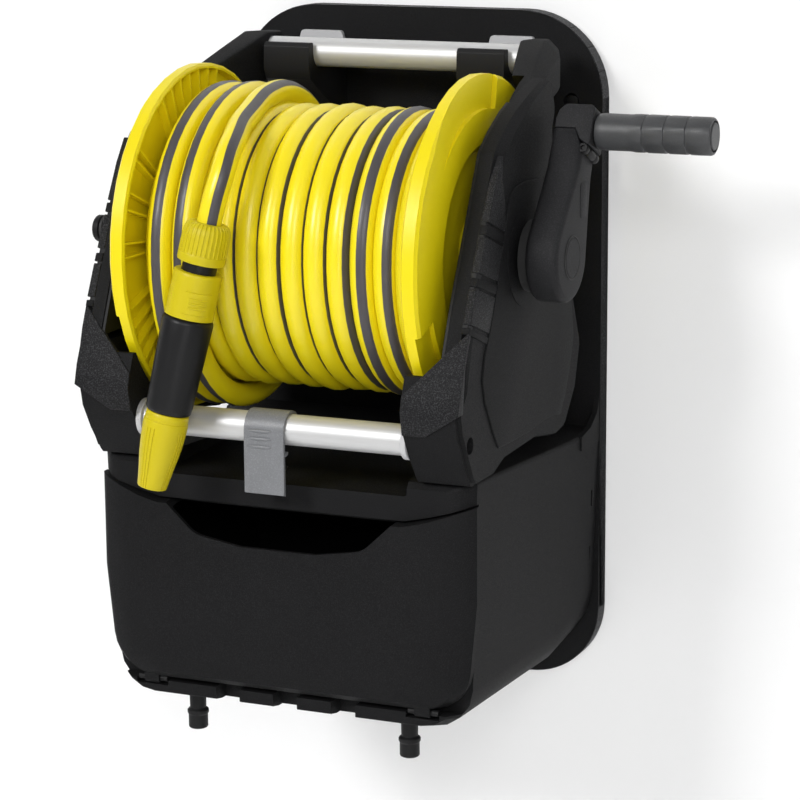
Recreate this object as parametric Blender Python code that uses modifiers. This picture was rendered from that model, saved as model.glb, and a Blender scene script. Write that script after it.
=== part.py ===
"""Wall station with a lift-off hose reel, a tilt-out storage door and a folding crank.

Metres, +Z up. The origin lies on the wall plane, midway across the station and level with the
reel's axis. +X runs along the axis to the crank and +Y runs into the wall.
"""

import math

import bmesh
import bpy
from mathutils import Matrix, Vector

# General fits
GAP = 0.0003
WALL = 0.003
ROUND = 32
SMALL_TURN = math.radians(16)

# Reel axis, measured from the wall, and the reel's middle, which sits right of the station's
AXIS_Y = -0.1816
REEL_X = 0.00325

# Back plate of the station
PLATE_HALF = 0.1535
PLATE_TOP = 0.1608
PLATE_BOTTOM = -0.3682
PLATE_DEPTH = 0.0155
PLATE_TOP_CORNER = 0.066
PLATE_BOTTOM_CORNER = 0.058
PLATE_RIB = 0.008
WALL_SCREW_X = PLATE_HALF - 0.0255
WALL_SCREW_LEVELS = (0.0921, -0.105)
WALL_SCREW_R = 0.0023
WALL_SCREW_HEAD_R = 0.0055
WALL_BOSS_R = 0.0105

# Storage box of the station
BOX_FRONT_Y = -0.2754
BOX_HALF_REAR = PLATE_HALF - 0.0005
BOX_HALF_FRONT = BOX_HALF_REAR - 0.0040
BOX_TOP_FRONT = -0.1503
BOX_TOP_REAR = -0.1632
BOX_LOW_FRONT = -0.3355
BOX_LOW_REAR = -0.3450
BOX_WALL = 0.004
BOX_CORNER = 0.030
LEDGE_DROP = 0.012
LEDGE_HALF = BOX_HALF_FRONT - 0.0490
FASCIA_LOW = -0.1826
WING_REACH = 0.0400
NOTCH_PITCH = 0.047
NOTCH_WIDTH = 0.0195

# Storage door
DOOR_FRONT_Y = -0.2816
DOOR_BACK_Y = -0.2601
DOOR_HALF = BOX_HALF_FRONT + 0.0010
DOOR_TOP = -0.1683
DOOR_LOW = -0.3215
DOOR_WALL = 0.0035
DOOR_SEAM = 0.0015
DOOR_HINGE_Y = -0.2693
DOOR_HINGE_Z = -0.3233
DOOR_PIN_R = 0.0025
DOOR_SHOULDER = DOOR_HALF - 0.0520
DOOR_CHEEK = DOOR_HALF - 0.0320
DOOR_PIN_X = (DOOR_HALF - 0.0520, DOOR_HALF - 0.0280)
SMILE_HALF = DOOR_HALF - 0.0610
SMILE_DEPTH = 0.0285

# Parking spigots under the storage box
SPIGOT_X = 0.0873
SPIGOT_Y = -0.2428
SPIGOT_TIP = -0.3682

# Tubes of the reel frame, measured from the reel's axis
TUBE_R = 0.0112
TUBE_BORE = 0.0092
TOP_TUBE = (0.1163, 0.1285)
LOW_TUBE = (-0.1051, -0.1183)
TUBE_FIT = 0.0004
SEAT_FIT = 0.0002

# Hooks that carry the top tube
HOOK_X = 0.0806
HOOK_WIDTH = 0.0388
HOOK_LEG = 0.008
HOOK_TIP = 0.1367
PAD_THICK = 0.0045
PAD_TOP = 0.1410

# Drum's width
FLANGE_FACE = 0.1076
FLANGE_DEPTH = 0.0120
FLANGE_OUT = FLANGE_FACE + FLANGE_DEPTH

# Side frames
FRAME_CLEAR = 0.01265
FRAME_DEPTH = 0.01775
FRAME_INNER = FLANGE_OUT + FRAME_CLEAR
FRAME_OUTER = FRAME_INNER + FRAME_DEPTH
TOP_TUBE_HALF = FRAME_OUTER - 0.0300
LOW_TUBE_HALF = FRAME_OUTER - 0.0155
INSIDE = FRAME_INNER - 0.0400
OUTSIDE = FRAME_OUTER + 0.0500
COVER_THICK = 0.0025
FRAME_WALL = 0.0035
FOOT_INNER = FRAME_INNER - 0.0255
FOOT_LOW = -0.1500
SINK_X = LOW_TUBE_HALF + 0.0065
HUB_RING_R = 0.037
STRUT_CHAMFER_X = 0.005
STRUT_CHAMFER_Y = 0.009

# Drum
FLANGE_R = 0.1290
FLANGE_WEB = 0.0033
RIM_BAND = 0.0036
CHANNEL_DEPTH = 0.0065
CHANNEL_LOW_R = 0.082
FACET_TURN = math.radians(1.13)
SECTORS = 3
SCOOP_START = 101
SCOOP_SWEEP = 64
SCOOP_FLOOR = FLANGE_FACE + CHANNEL_DEPTH + 0.0018
SCOOP_LOW_R = 0.104
RIB_THICK = 0.0015
RIB_GROUP = (60.3, 67.3, 74.3, 81.3, 88.3, 95.3, 102.3)
RIB_PAIRS = (0.6, 5.4, 16.7, 22.5, 33.8, 37.9)
BARREL_R = 0.0680
SHAFT_R = 0.0120
SHAFT_BORE = 0.0070
SHAFT_FIT = 0.0001
BEARING_R = 0.0180
PORT_X = FLANGE_FACE - 0.0160

# Hose
HOSE_D = 0.01795
LAYER_2_R = BARREL_R + 2 * HOSE_D - 0.0035
LAYER_3_R = LAYER_2_R + HOSE_D - 0.0057
LAYER_3_END = -0.0600

# Crank
ARM_LEAN = math.radians(25.3)
ARM_CLEAR = 0.00425
ARM_DEPTH = 0.0322
ARM_INNER = FRAME_OUTER + ARM_CLEAR
ARM_OUTER = ARM_INNER + ARM_DEPTH
BLOCK_STEP = ARM_OUTER - 0.0082
HUB_R = 0.0326
ARM_HALF = 0.0145
ARM_SEAM = 0.0925
BLOCK_TOP = 0.1110
GRIP_AT = 0.0955
FOLD_X = ARM_OUTER + 0.0005
FOLD_AT = 0.0785
KNUCKLE_R = 0.0060
KNUCKLE_HALF = 0.0075
PIN_R = 0.0016
PIN_FIT = 0.00005
GRIP_R = 0.0142
GRIP_LENGTH = 0.0850
GRIP_START = ARM_OUTER + 0.0048
GRIP_END = GRIP_START + GRIP_LENGTH
GRIP_TIP = GRIP_END + 0.0030
SPINDLE_R = 0.0040
SPINDLE_START = ARM_OUTER - 0.0062
CAP_R = 0.0149

# Connector and nozzle on the hose end
NOZZLE_TOP = (-0.0394, -0.1258, 0.0315)
NOZZLE_END = (-0.0813, -0.1429, -0.1604)
# Hose between the drum's top and the connector
TAIL_BEND = [
    (-0.0452, -0.0300, 0.1066),
    (-0.0428, -0.0500, 0.1010),
    (-0.0399, -0.0715, 0.0950),
    (-0.0350, -0.0915, 0.0880),
    (-0.0328, -0.1080, 0.0775),
    (-0.0323, -0.1190, 0.0640),
    (-0.0354, -0.1242, 0.0485),
]
NUT_LENGTH = 0.0300
SLEEVE_START = 0.0352
SLEEVE_END = 0.0690
BODY_END = 0.1400
NUT_R = 0.0173
SLEEVE_R = 0.0182
CORE_R = 0.0125
BODY_R = 0.0186
TIP_R = 0.0105

# Clip on the lower tube
CLIP_HALF = 0.0157
CLIP_THICK = 0.0025
CLIP_LOW = -0.1650
CLIP_X = -REEL_X

BLACK = (0.020, 0.020, 0.022, 1)
YELLOW = (0.900, 0.760, 0.020, 1)
GREY = (0.140, 0.140, 0.150, 1)
PALE = (0.550, 0.550, 0.560, 1)
STEEL = (0.450, 0.450, 0.450, 1)
METAL = (0.720, 0.720, 0.720, 1)


def clear_scene():
    """Removes the objects that a new file starts with."""
    for obj in list(bpy.data.objects):
        bpy.data.objects.remove(obj, do_unlink=True)


def new_collection(name):
    collection = bpy.data.collections.new(name)
    bpy.context.scene.collection.children.link(collection)
    return collection


clear_scene()
PARTS = new_collection("hose_reel")
CUTTERS = new_collection("cutters")


def new_empty(name, location, rotation=(0, 0, 0), parent=None):
    """An empty that carries the pieces modelled in its frame."""
    empty = bpy.data.objects.new(name, None)
    empty.location = location
    empty.rotation_euler = rotation
    empty.parent = parent
    PARTS.objects.link(empty)
    bpy.context.view_layer.update()
    return empty


def material(name, colour, roughness, metallic=0.0):
    made = bpy.data.materials.get(name) or bpy.data.materials.new(name)
    made.use_nodes = True
    shader = made.node_tree.nodes["Principled BSDF"]
    shader.inputs["Base Color"].default_value = colour
    shader.inputs["Roughness"].default_value = roughness
    shader.inputs["Metallic"].default_value = metallic
    return made


def black_plastic():
    return material("black_plastic", BLACK, 0.55)


def yellow_plastic():
    return material("yellow_plastic", YELLOW, 0.35)


def grey_plastic():
    return material("grey_plastic", GREY, 0.50)


def pale_plastic():
    return material("pale_plastic", PALE, 0.45)


def steel():
    return material("steel", STEEL, 0.35, 1.0)


def aluminium():
    return material("aluminium", METAL, 0.40, 1.0)


def hose_rubber():
    return material("hose_rubber", YELLOW, 0.30)


def mesh_object(name, bm, parent=None):
    """A new object from a bmesh, in the parts collection, smooth except at sharp edges."""
    bmesh.ops.remove_doubles(bm, verts=bm.verts, dist=1e-7)
    spare = [edge for edge in bm.edges if not edge.link_faces]
    bmesh.ops.delete(bm, geom=spare, context="EDGES")
    bmesh.ops.recalc_face_normals(bm, faces=bm.faces)
    mesh = bpy.data.meshes.new(name)
    bm.to_mesh(mesh)
    bm.free()
    mesh.shade_smooth()
    mesh.set_sharp_from_angle(angle=math.radians(35))
    obj = bpy.data.objects.new(name, mesh)
    obj.parent = parent
    PARTS.objects.link(obj)
    return obj


def finish(obj, surface):
    obj.data.materials.clear()
    obj.data.materials.append(surface)
    return obj


def as_cutter(obj):
    """Moves a helper to the cutters, hidden from renders."""
    PARTS.objects.unlink(obj)
    CUTTERS.objects.link(obj)
    obj.hide_render = True
    obj.display_type = "WIRE"
    return obj


def boolean(obj, other, operation):
    modifier = obj.modifiers.new(operation.lower() + "_" + other.name, "BOOLEAN")
    modifier.operation = operation
    modifier.solver = "EXACT"
    modifier.object = as_cutter(other)
    return obj


def cut(obj, *others):
    for other in others:
        boolean(obj, other, "DIFFERENCE")
    return obj


def join(obj, *others):
    for other in others:
        boolean(obj, other, "UNION")
    return obj


def mirrored(name, obj):
    """A copy of a piece mirrored at X = 0, with its helpers applied first."""
    graph = bpy.context.evaluated_depsgraph_get()
    mesh = bpy.data.meshes.new_from_object(obj.evaluated_get(graph))
    bm = bmesh.new()
    bm.from_mesh(mesh)
    bpy.data.meshes.remove(mesh)
    bmesh.ops.scale(bm, vec=(-1, 1, 1), verts=bm.verts)
    bmesh.ops.reverse_faces(bm, faces=bm.faces)
    copy = mesh_object(name, bm, obj.parent)
    return finish(copy, obj.data.materials[0])


def box(name, low, high, bevel=0.0, parent=None):
    """A box between two corners, with its edges rounded by bevel."""
    bm = bmesh.new()
    bmesh.ops.create_cube(bm, size=1)
    size = [high[i] - low[i] for i in range(3)]
    middle = [(high[i] + low[i]) / 2 for i in range(3)]
    bmesh.ops.scale(bm, vec=size, verts=bm.verts)
    bmesh.ops.translate(bm, vec=middle, verts=bm.verts)
    if bevel:
        bmesh.ops.bevel(bm, geom=bm.edges, offset=bevel, segments=2, profile=0.5, affect="EDGES")
    return mesh_object(name, bm, parent)


def rod(name, start, end, radius, end_radius=None, parent=None, segments=ROUND):
    """A cylinder, or a cone, between two points."""
    start, end = Vector(start), Vector(end)
    along = end - start
    bm = bmesh.new()
    bmesh.ops.create_cone(
        bm,
        cap_ends=True,
        segments=segments,
        radius1=radius,
        radius2=radius if end_radius is None else end_radius,
        depth=along.length,
    )
    turn = Vector((0, 0, 1)).rotation_difference(along).to_matrix().to_4x4()
    place = Matrix.Translation((start + end) / 2) @ turn
    bmesh.ops.transform(bm, matrix=place, verts=bm.verts)
    return mesh_object(name, bm, parent)


def turned(name, profile, axis="X", parent=None, segments=ROUND, centre=(0, 0, 0)):
    """A closed profile of (along, radius) points turned about an axis."""
    bm = bmesh.new()
    points = [bm.verts.new((radius, 0, along)) for along, radius in profile]
    for here, following in zip(points, points[1:] + points[:1]):
        bm.edges.new((here, following))
    wire = bpy.data.meshes.new(name)
    bm.to_mesh(wire)
    bm.free()
    obj = bpy.data.objects.new(name, wire)
    PARTS.objects.link(obj)
    screw = obj.modifiers.new("turn", "SCREW")
    screw.steps = segments
    screw.render_steps = segments
    screw.use_merge_vertices = True
    screw.merge_threshold = 1e-6
    made = baked(obj)
    if axis == "X":
        bmesh.ops.rotate(made, matrix=Matrix.Rotation(math.pi / 2, 3, "Y"), verts=made.verts)
    if axis == "Y":
        bmesh.ops.rotate(made, matrix=Matrix.Rotation(-math.pi / 2, 3, "X"), verts=made.verts)
    bmesh.ops.translate(made, vec=centre, verts=made.verts)
    return mesh_object(name, made, parent)


def baked(obj):
    """The bmesh of an object as evaluated, in world space. The object is removed."""
    bpy.context.view_layer.update()
    graph = bpy.context.evaluated_depsgraph_get()
    mesh = bpy.data.meshes.new_from_object(obj.evaluated_get(graph))
    bm = bmesh.new()
    bm.from_mesh(mesh)
    bm.transform(obj.matrix_world)
    bpy.data.meshes.remove(mesh)
    bpy.data.objects.remove(obj, do_unlink=True)
    return bm


def extruded(name, outline, axis, low, high, parent=None):
    """A flat outline with thickness: (Y, Z) points along X, (X, Z) along Y or (X, Y) along Z."""
    curve = bpy.data.curves.new(name, "CURVE")
    curve.dimensions = "2D"
    curve.fill_mode = "BOTH"
    curve.extrude = (high - low) / 2
    spline = curve.splines.new("POLY")
    spline.points.add(len(outline) - 1)
    for point, (a, b) in zip(spline.points, outline):
        point.co = (a, b, 0, 1)
    spline.use_cyclic_u = True
    obj = bpy.data.objects.new(name, curve)
    PARTS.objects.link(obj)
    middle = (high + low) / 2
    if axis == "X":
        obj.matrix_world = Matrix(((0, 0, 1, middle), (1, 0, 0, 0), (0, 1, 0, 0), (0, 0, 0, 1)))
    if axis == "Y":
        obj.matrix_world = Matrix(((1, 0, 0, 0), (0, 0, -1, middle), (0, 1, 0, 0), (0, 0, 0, 1)))
    if axis == "Z":
        obj.matrix_world = Matrix.Translation((0, 0, middle))
    return mesh_object(name, baked(obj), parent)


def lofted(name, rings, parent=None):
    """A closed skin over rings that all have the same number of points."""
    bm = bmesh.new()
    rows = [[bm.verts.new(point) for point in ring] for ring in rings]
    for row, following in zip(rows, rows[1:]):
        for i in range(len(row)):
            j = (i + 1) % len(row)
            bm.faces.new((row[i], row[j], following[j], following[i]))
    bmesh.ops.triangulate(bm, faces=bm.faces)
    bm.faces.new(rows[0])
    bm.faces.new(rows[-1])
    return mesh_object(name, bm, parent)


def slab(name, outline, low, high, low_edge, high_edge, parent=None):
    """A (Y, Z) outline with thickness along X and a chamfer at either face."""
    small = inset(outline, low_edge) if low_edge else outline
    rings = []
    if low_edge:
        rings.append([(low, y, z) for y, z in small])
    rings.append([(low + low_edge, y, z) for y, z in outline])
    rings.append([(high - high_edge, y, z) for y, z in outline])
    if high_edge:
        rings.append([(high, y, z) for y, z in inset(outline, high_edge)])
    return lofted(name, rings, parent)


def arc(centre, radius, start, end, steps):
    """Points on an arc, angles in degrees."""
    points = []
    for i in range(steps + 1):
        angle = math.radians(start + (end - start) * i / steps)
        points.append((centre[0] + radius * math.cos(angle), centre[1] + radius * math.sin(angle)))
    return points


def rounded(corners, steps=3):
    """An outline through corners (a, b, radius), each with an arc of its radius."""
    outline = []
    count = len(corners)
    for i, (a, b, radius) in enumerate(corners):
        here = Vector((a, b))
        back = Vector(corners[i - 1][:2]) - here
        onward = Vector(corners[(i + 1) % count][:2]) - here
        half = back.angle(onward) / 2
        if math.pi - 2 * half < SMALL_TURN:
            radius = 0
        reach = radius / math.tan(half) if radius else 0
        longest = 0.49 * min(back.length, onward.length)
        if reach > longest:
            radius *= longest / reach
            reach = longest
        if not reach:
            outline.append((a, b))
            continue
        centre = here + (back.normalized() + onward.normalized()).normalized() * radius / math.sin(half)
        first = here + back.normalized() * reach - centre
        last = here + onward.normalized() * reach - centre
        sweep = first.angle_signed(last)
        for k in range(steps + 1):
            angle = -sweep * k / steps
            turn = Matrix.Rotation(angle, 2)
            outline.append(tuple(centre + turn @ first))
    return outline


def inset(outline, distance):
    """An outline moved inwards by a distance along each corner's bisector."""
    count = len(outline)
    area = sum(
        outline[i - 1][0] * outline[i][1] - outline[i][0] * outline[i - 1][1] for i in range(count)
    )
    side = 1 if area > 0 else -1
    moved = []
    for i in range(count):
        here = Vector(outline[i])
        before = (here - Vector(outline[i - 1])).normalized()
        after = (Vector(outline[(i + 1) % count]) - here).normalized()
        normal = Vector((-before.y, before.x)) + Vector((-after.y, after.x))
        normal.normalize()
        stretch = max(0.5, normal.dot(Vector((-before.y, before.x))))
        moved.append(tuple(here + normal * side * distance / stretch))
    return moved


def both_sides(x_pairs):
    """(left, right) spans of X for a pair of pieces at either side."""
    low, high = x_pairs
    return (("left", -high, -low), ("right", low, high))


# Station

def plate_outline(shrink=0.0):
    half = PLATE_HALF - shrink
    top, low = PLATE_TOP - shrink, PLATE_BOTTOM + shrink
    top_corner, low_corner = PLATE_TOP_CORNER - shrink, PLATE_BOTTOM_CORNER - shrink
    return rounded(
        [
            (-half, low, low_corner),
            (half, low, low_corner),
            (half, top, top_corner),
            (-half, top, top_corner),
        ],
        steps=5,
    )


def screw_places():
    return [(side * WALL_SCREW_X, level) for level in WALL_SCREW_LEVELS for side in (-1, 1)]


def back_plate():
    """The tray-shaped back plate: a front skin, a rim to the wall, ribs and screw bosses."""
    plate = extruded("station_housing", plate_outline(), "Y", -PLATE_DEPTH, 0)
    hollow = extruded("plate_hollow", plate_outline(WALL + 0.001), "Y", -PLATE_DEPTH + WALL, 0.01)
    for i, z in enumerate((0.0, -0.27)):
        low, high = z - PLATE_RIB / 2, z + PLATE_RIB / 2
        rib_space = box(f"rib_space_{i}", (-PLATE_HALF, -0.02, low), (PLATE_HALF, 0.02, high))
        cut(hollow, rib_space)
    for i, (x, z) in enumerate(screw_places()):
        cut(hollow, rod(f"boss_space_{i}", (x, -0.03, z), (x, 0.03, z), WALL_BOSS_R, segments=24))
    return cut(plate, hollow)


def box_ring(y, half, low, high, corner, top_corner=0.003, taper=0.0):
    """One upright section of the storage box, narrower at the bottom by taper."""
    corners = [
        (-half + taper, low, corner),
        (half - taper, low, corner),
        (half, high, top_corner),
        (-half, high, top_corner),
    ]
    return [(x, y, z) for x, z in rounded(corners, steps=4)]


def storage_box():
    """The storage box that stands out from the lower half of the plate."""
    front = BOX_FRONT_Y
    rear = -PLATE_DEPTH + 0.001
    shoulder = front + 0.0135
    sections = (
        (front, BOX_HALF_FRONT - 0.016, BOX_LOW_FRONT + 0.006, BOX_TOP_FRONT - 0.006, 0.024),
        (front + 0.004, BOX_HALF_FRONT - 0.0075, BOX_LOW_FRONT + 0.002, BOX_TOP_FRONT - 0.002, 0.028),
        (shoulder, BOX_HALF_FRONT, BOX_LOW_FRONT, BOX_TOP_FRONT, BOX_CORNER),
        (-0.160, BOX_HALF_FRONT + 0.001, BOX_LOW_FRONT - 0.004, BOX_TOP_FRONT - 0.006, 0.032),
        (-0.080, BOX_HALF_FRONT + 0.002, BOX_LOW_REAR + 0.001, BOX_TOP_REAR + 0.002, 0.036),
        (rear, BOX_HALF_REAR, BOX_LOW_REAR, BOX_TOP_REAR, PLATE_BOTTOM_CORNER - 0.004),
    )
    return lofted("storage_box", [box_ring(*s, taper=0.006) for s in sections])


def box_cavity():
    """The hollow that the door opens on."""
    front, rear = BOX_FRONT_Y - 0.01, -PLATE_DEPTH - WALL
    sections = (
        (front, BOX_HALF_FRONT - 0.010, BOX_LOW_FRONT + 0.0155, FASCIA_LOW - 0.004, 0.020),
        (-0.250, BOX_HALF_FRONT - 0.010, BOX_LOW_FRONT + 0.0155, FASCIA_LOW - 0.004, 0.020),
        (-0.246, BOX_HALF_FRONT - BOX_WALL - 0.001, BOX_LOW_FRONT + BOX_WALL, FASCIA_LOW + 0.004, 0.026),
        (-0.080, BOX_HALF_FRONT - BOX_WALL, BOX_LOW_REAR + 0.002 + BOX_WALL, BOX_TOP_REAR - BOX_WALL, 0.030),
        (rear, BOX_HALF_REAR - BOX_WALL - 0.001, BOX_LOW_REAR + BOX_WALL + 0.002, BOX_TOP_REAR - BOX_WALL, 0.036),
    )
    return lofted("box_cavity", [box_ring(*s, taper=0.006) for s in sections])


def door_shoulders(rise):
    """The door's top line from its left corner to the mouth, raised by rise."""
    return [
        (-DOOR_HALF, DOOR_TOP + rise),
        (-DOOR_CHEEK, FASCIA_LOW + 0.0051 + rise),
        (-DOOR_SHOULDER, FASCIA_LOW + 0.0004 + rise),
    ]


def door_space():
    """What is taken off the front of the box for the door."""
    wide = BOX_HALF_REAR + 0.05
    left = [(-wide, DOOR_TOP + DOOR_SEAM)] + door_shoulders(DOOR_SEAM)
    right = [(-x, z) for x, z in reversed(left)]
    low = DOOR_LOW - 0.0025
    outline = [(-wide, low)] + left + right + [(wide, low)]
    return extruded("door_space", outline, "Y", BOX_FRONT_Y - 0.01, DOOR_BACK_Y + DOOR_SEAM)


def side_wing(name, x_low, x_high):
    """The side wall's sweep from the box up to the plate's rim."""
    y_low = -PLATE_DEPTH - WING_REACH
    z_low = BOX_TOP_REAR - 0.010
    curve = [
        (y_low, BOX_TOP_REAR + 0.001),
        (-0.0350, -0.1585),
        (-0.0215, -0.1500),
        (-0.0165, -0.1400),
        (-0.0145, -0.1250),
    ]
    outline = [(y_low, z_low)] + curve + [(-0.0050, -0.1250), (-0.0050, z_low)]
    return extruded(name, outline[::-1], "X", x_low, x_high)


def side_slots():
    """Eight short slots in the side walls of the box, four at either side."""
    cutters = []
    for side in (-1, 1):
        for y, z, height in (
            (-0.0816, -0.2244, 0.0100),
            (-0.0816, -0.2484, 0.0095),
            (-0.0260, -0.2177, 0.0130),
            (-0.0260, -0.2630, 0.0120),
        ):
            low = (side * PLATE_HALF - 0.0045, y - 0.0012, z - height / 2)
            high = (side * PLATE_HALF + 0.0045, y + 0.0012, z + height / 2)
            cutters.append(box(f"slot_{len(cutters)}", low, high))
    return cutters


def notches():
    """Three notches in the front edge under the door."""
    cutters = []
    for i in (-1, 0, 1):
        x = i * NOTCH_PITCH
        low = (x - NOTCH_WIDTH / 2, BOX_FRONT_Y - 0.01, BOX_LOW_FRONT - 0.01)
        high = (x + NOTCH_WIDTH / 2, -0.2560, DOOR_LOW + 0.001)
        cutters.append(box(f"notch_{i + 1}", low, high))
    return cutters


def station_housing():
    housing = back_plate()
    join(housing, storage_box())
    for side, x_low, x_high in both_sides((BOX_HALF_REAR - 0.004, BOX_HALF_REAR)):
        join(housing, side_wing(f"wing_{side}", x_low, x_high))
    cut(housing, box_cavity(), door_space())
    wide = BOX_HALF_REAR + 0.05
    beam_front = (wide, DOOR_HINGE_Y - 0.0030, DOOR_LOW)
    cut(housing, box("beam_trim", (-wide, -0.3, -0.36), beam_front))
    ledge_low = (-LEDGE_HALF, BOX_FRONT_Y - 0.01, BOX_TOP_FRONT - LEDGE_DROP)
    cut(housing, box("ledge_recess", ledge_low, (LEDGE_HALF, -0.150, BOX_TOP_FRONT + 0.01), 0.002))
    cut(housing, *notches())
    for side, x_low, x_high in both_sides(DOOR_PIN_X):
        reach = 0.0012
        low = (x_low - reach, DOOR_HINGE_Y - 0.012, DOOR_HINGE_Z - 0.0045)
        high = (x_high + reach, DOOR_HINGE_Y + 0.0048, DOOR_HINGE_Z + 0.012)
        cut(housing, box(f"pin_slot_{side}", low, high))
    for side in (-1, 1):
        x = side * SPIGOT_X
        bore = rod(f"spigot_bore_{side}", (x, SPIGOT_Y, -0.36), (x, SPIGOT_Y, -0.32), 0.0063)
        cut(housing, bore)
    for i, (x, z) in enumerate(screw_places()):
        hole = rod(f"screw_hole_{i}", (x, -0.03, z), (x, 0.01, z), WALL_SCREW_R + GAP, segments=24)
        sink = (x, -PLATE_DEPTH + 0.0065, z)
        seat = rod(f"screw_seat_{i}", (x, -0.03, z), sink, WALL_SCREW_HEAD_R + 0.0008, segments=24)
        cut(housing, hole, seat)
    cut(housing, *side_slots())
    return finish(housing, black_plastic())


def wall_screws():
    """Pan-head screws, ending at the wall plane."""
    for i, (x, z) in enumerate(screw_places()):
        seat = -PLATE_DEPTH + 0.0065 - GAP
        profile = [
            (seat - 0.0035, 0),
            (seat - 0.0035, 0.0020),
            (seat - 0.0028, WALL_SCREW_HEAD_R - 0.0008),
            (seat, WALL_SCREW_HEAD_R),
            (seat, WALL_SCREW_R),
            (0, WALL_SCREW_R),
            (0, 0),
        ]
        screw = turned(f"wall_screw_{i + 1}", profile, "Y", segments=20, centre=(x, 0, z))
        finish(screw, steel())


def hook_outline():
    """A J-hook in side view: its mouth takes the top tube from above."""
    y, z = AXIS_Y + TOP_TUBE[0], TOP_TUBE[1]
    inner = TUBE_R + TUBE_FIT
    front, tip = y - inner - HOOK_LEG, HOOK_TIP
    under = arc((y, z), inner, 180, 360, 8)
    face = -PLATE_DEPTH - GAP
    return [
        (face, 0.070),
        (face, 0.1345),
        (y + inner + 0.006, 0.1345),
        (y + inner + 0.001, z + 0.004),
    ] + under[::-1] + [
        (y - inner, tip - 0.001),
        (y - inner - 0.001, tip),
        (front + 0.002, tip),
        (front, tip - 0.003),
        (front - 0.001, z - 0.012),
        (front + 0.003, z - 0.020),
        (front + 0.016, z - 0.028),
    ]


def hooks():
    for side, sign in (("left", -1), ("right", 1)):
        x_low, x_high = sign * HOOK_X - HOOK_WIDTH / 2, sign * HOOK_X + HOOK_WIDTH / 2
        hook = extruded(f"hook_{side}", hook_outline(), "X", x_low, x_high)
        finish(hook, black_plastic())
        outline = rounded(
            [
                (x_low + 0.0004, 0.1348, 0),
                (x_high - 0.0004, 0.1348, 0),
                (x_high - 0.0020, PAD_TOP, 0.003),
                (x_low + 0.0020, PAD_TOP, 0.003),
            ]
        )
        face = -PLATE_DEPTH - GAP
        pad = extruded(f"hook_pad_{side}", outline, "Y", face - PAD_THICK, face)
        finish(pad, pale_plastic())


def park_spigots():
    """Male quick-connector spigots on which the hose end can be parked."""
    seat = BOX_LOW_FRONT - GAP
    profile = [
        (-0.3250, 0),
        (-0.3250, 0.0060),
        (seat - 0.0010, 0.0060),
        (seat - 0.0010, 0.0090),
        (seat - 0.0045, 0.0090),
        (seat - 0.0060, 0.0064),
        (SPIGOT_TIP + 0.0160, 0.0062),
        (SPIGOT_TIP + 0.0145, 0.0082),
        (SPIGOT_TIP + 0.0120, 0.0082),
        (SPIGOT_TIP + 0.0108, 0.0074),
        (SPIGOT_TIP + 0.0010, 0.0074),
        (SPIGOT_TIP, 0.0062),
        (SPIGOT_TIP, 0),
    ]
    for side, sign in (("left", -1), ("right", 1)):
        place = (sign * SPIGOT_X, SPIGOT_Y, 0)
        spigot = turned(f"park_spigot_{side}", profile, "Z", segments=16, centre=place)
        finish(spigot, black_plastic())


# Storage door

def door_top(x):
    """The height of the door's top edge at a distance x from the middle."""
    places = ((DOOR_SHOULDER, FASCIA_LOW), (DOOR_CHEEK, FASCIA_LOW + 0.0049), (DOOR_HALF, DOOR_TOP))
    for (a, low), (b, high) in zip(places, places[1:]):
        if x <= b:
            break
    return low + (high - low) * (x - a) / (b - a)


def door_ring(y, half, low, facet):
    """One upright section of the door, without its mouth. Facet lowers the top edge."""
    inner = DOOR_SHOULDER - max(0.0, DOOR_SHOULDER + 0.010 - half)
    middle = inner + 0.38 * (half - inner)
    left = [(-x, door_top(x) - facet) for x in (half, middle, inner)]
    right = [(-x, z) for x, z in reversed(left)]
    bottom = rounded(
        [
            (half, -0.24, 0),
            (half - 0.008, low, 0.032),
            (-half + 0.008, low, 0.032),
            (-half, -0.24, 0),
        ],
        steps=6,
    )
    outline = left + right + bottom
    return [(x, y, z) for x, z in outline]


def door_shell(name, shrink):
    """The door's outer form, or with a shrink the hollow behind its front."""
    front = DOOR_FRONT_Y + shrink
    back = DOOR_BACK_Y + (0.01 if shrink else 0)
    half, low = DOOR_HALF - shrink, DOOR_LOW + shrink
    rings = [
        door_ring(front, DOOR_HALF - 0.037 - shrink / 2, low + 0.0190, 0.0010 + shrink),
        door_ring(front + 0.0030, half - 0.0210, low + 0.0060, 0.0005 + shrink),
        door_ring(front + 0.0090, half - 0.0060, low + 0.0010, shrink),
        door_ring(front + 0.0160, half, low, shrink),
        door_ring(back, half, low, shrink),
    ]
    return lofted(name, rings)


def mouth_outline():
    """The hand opening in the top edge of the door."""
    top = DOOR_TOP + 0.01
    low = FASCIA_LOW - SMILE_DEPTH
    half = SMILE_HALF
    return rounded(
        [
            (-half - 0.004, top, 0),
            (-half - 0.002, FASCIA_LOW, 0.004),
            (-half + 0.022, low + 0.006, 0.022),
            (-0.030, low, 0.030),
            (0.030, low, 0.030),
            (half - 0.022, low + 0.006, 0.022),
            (half + 0.002, FASCIA_LOW, 0.004),
            (half + 0.004, top, 0),
        ],
        steps=4,
    )


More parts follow.
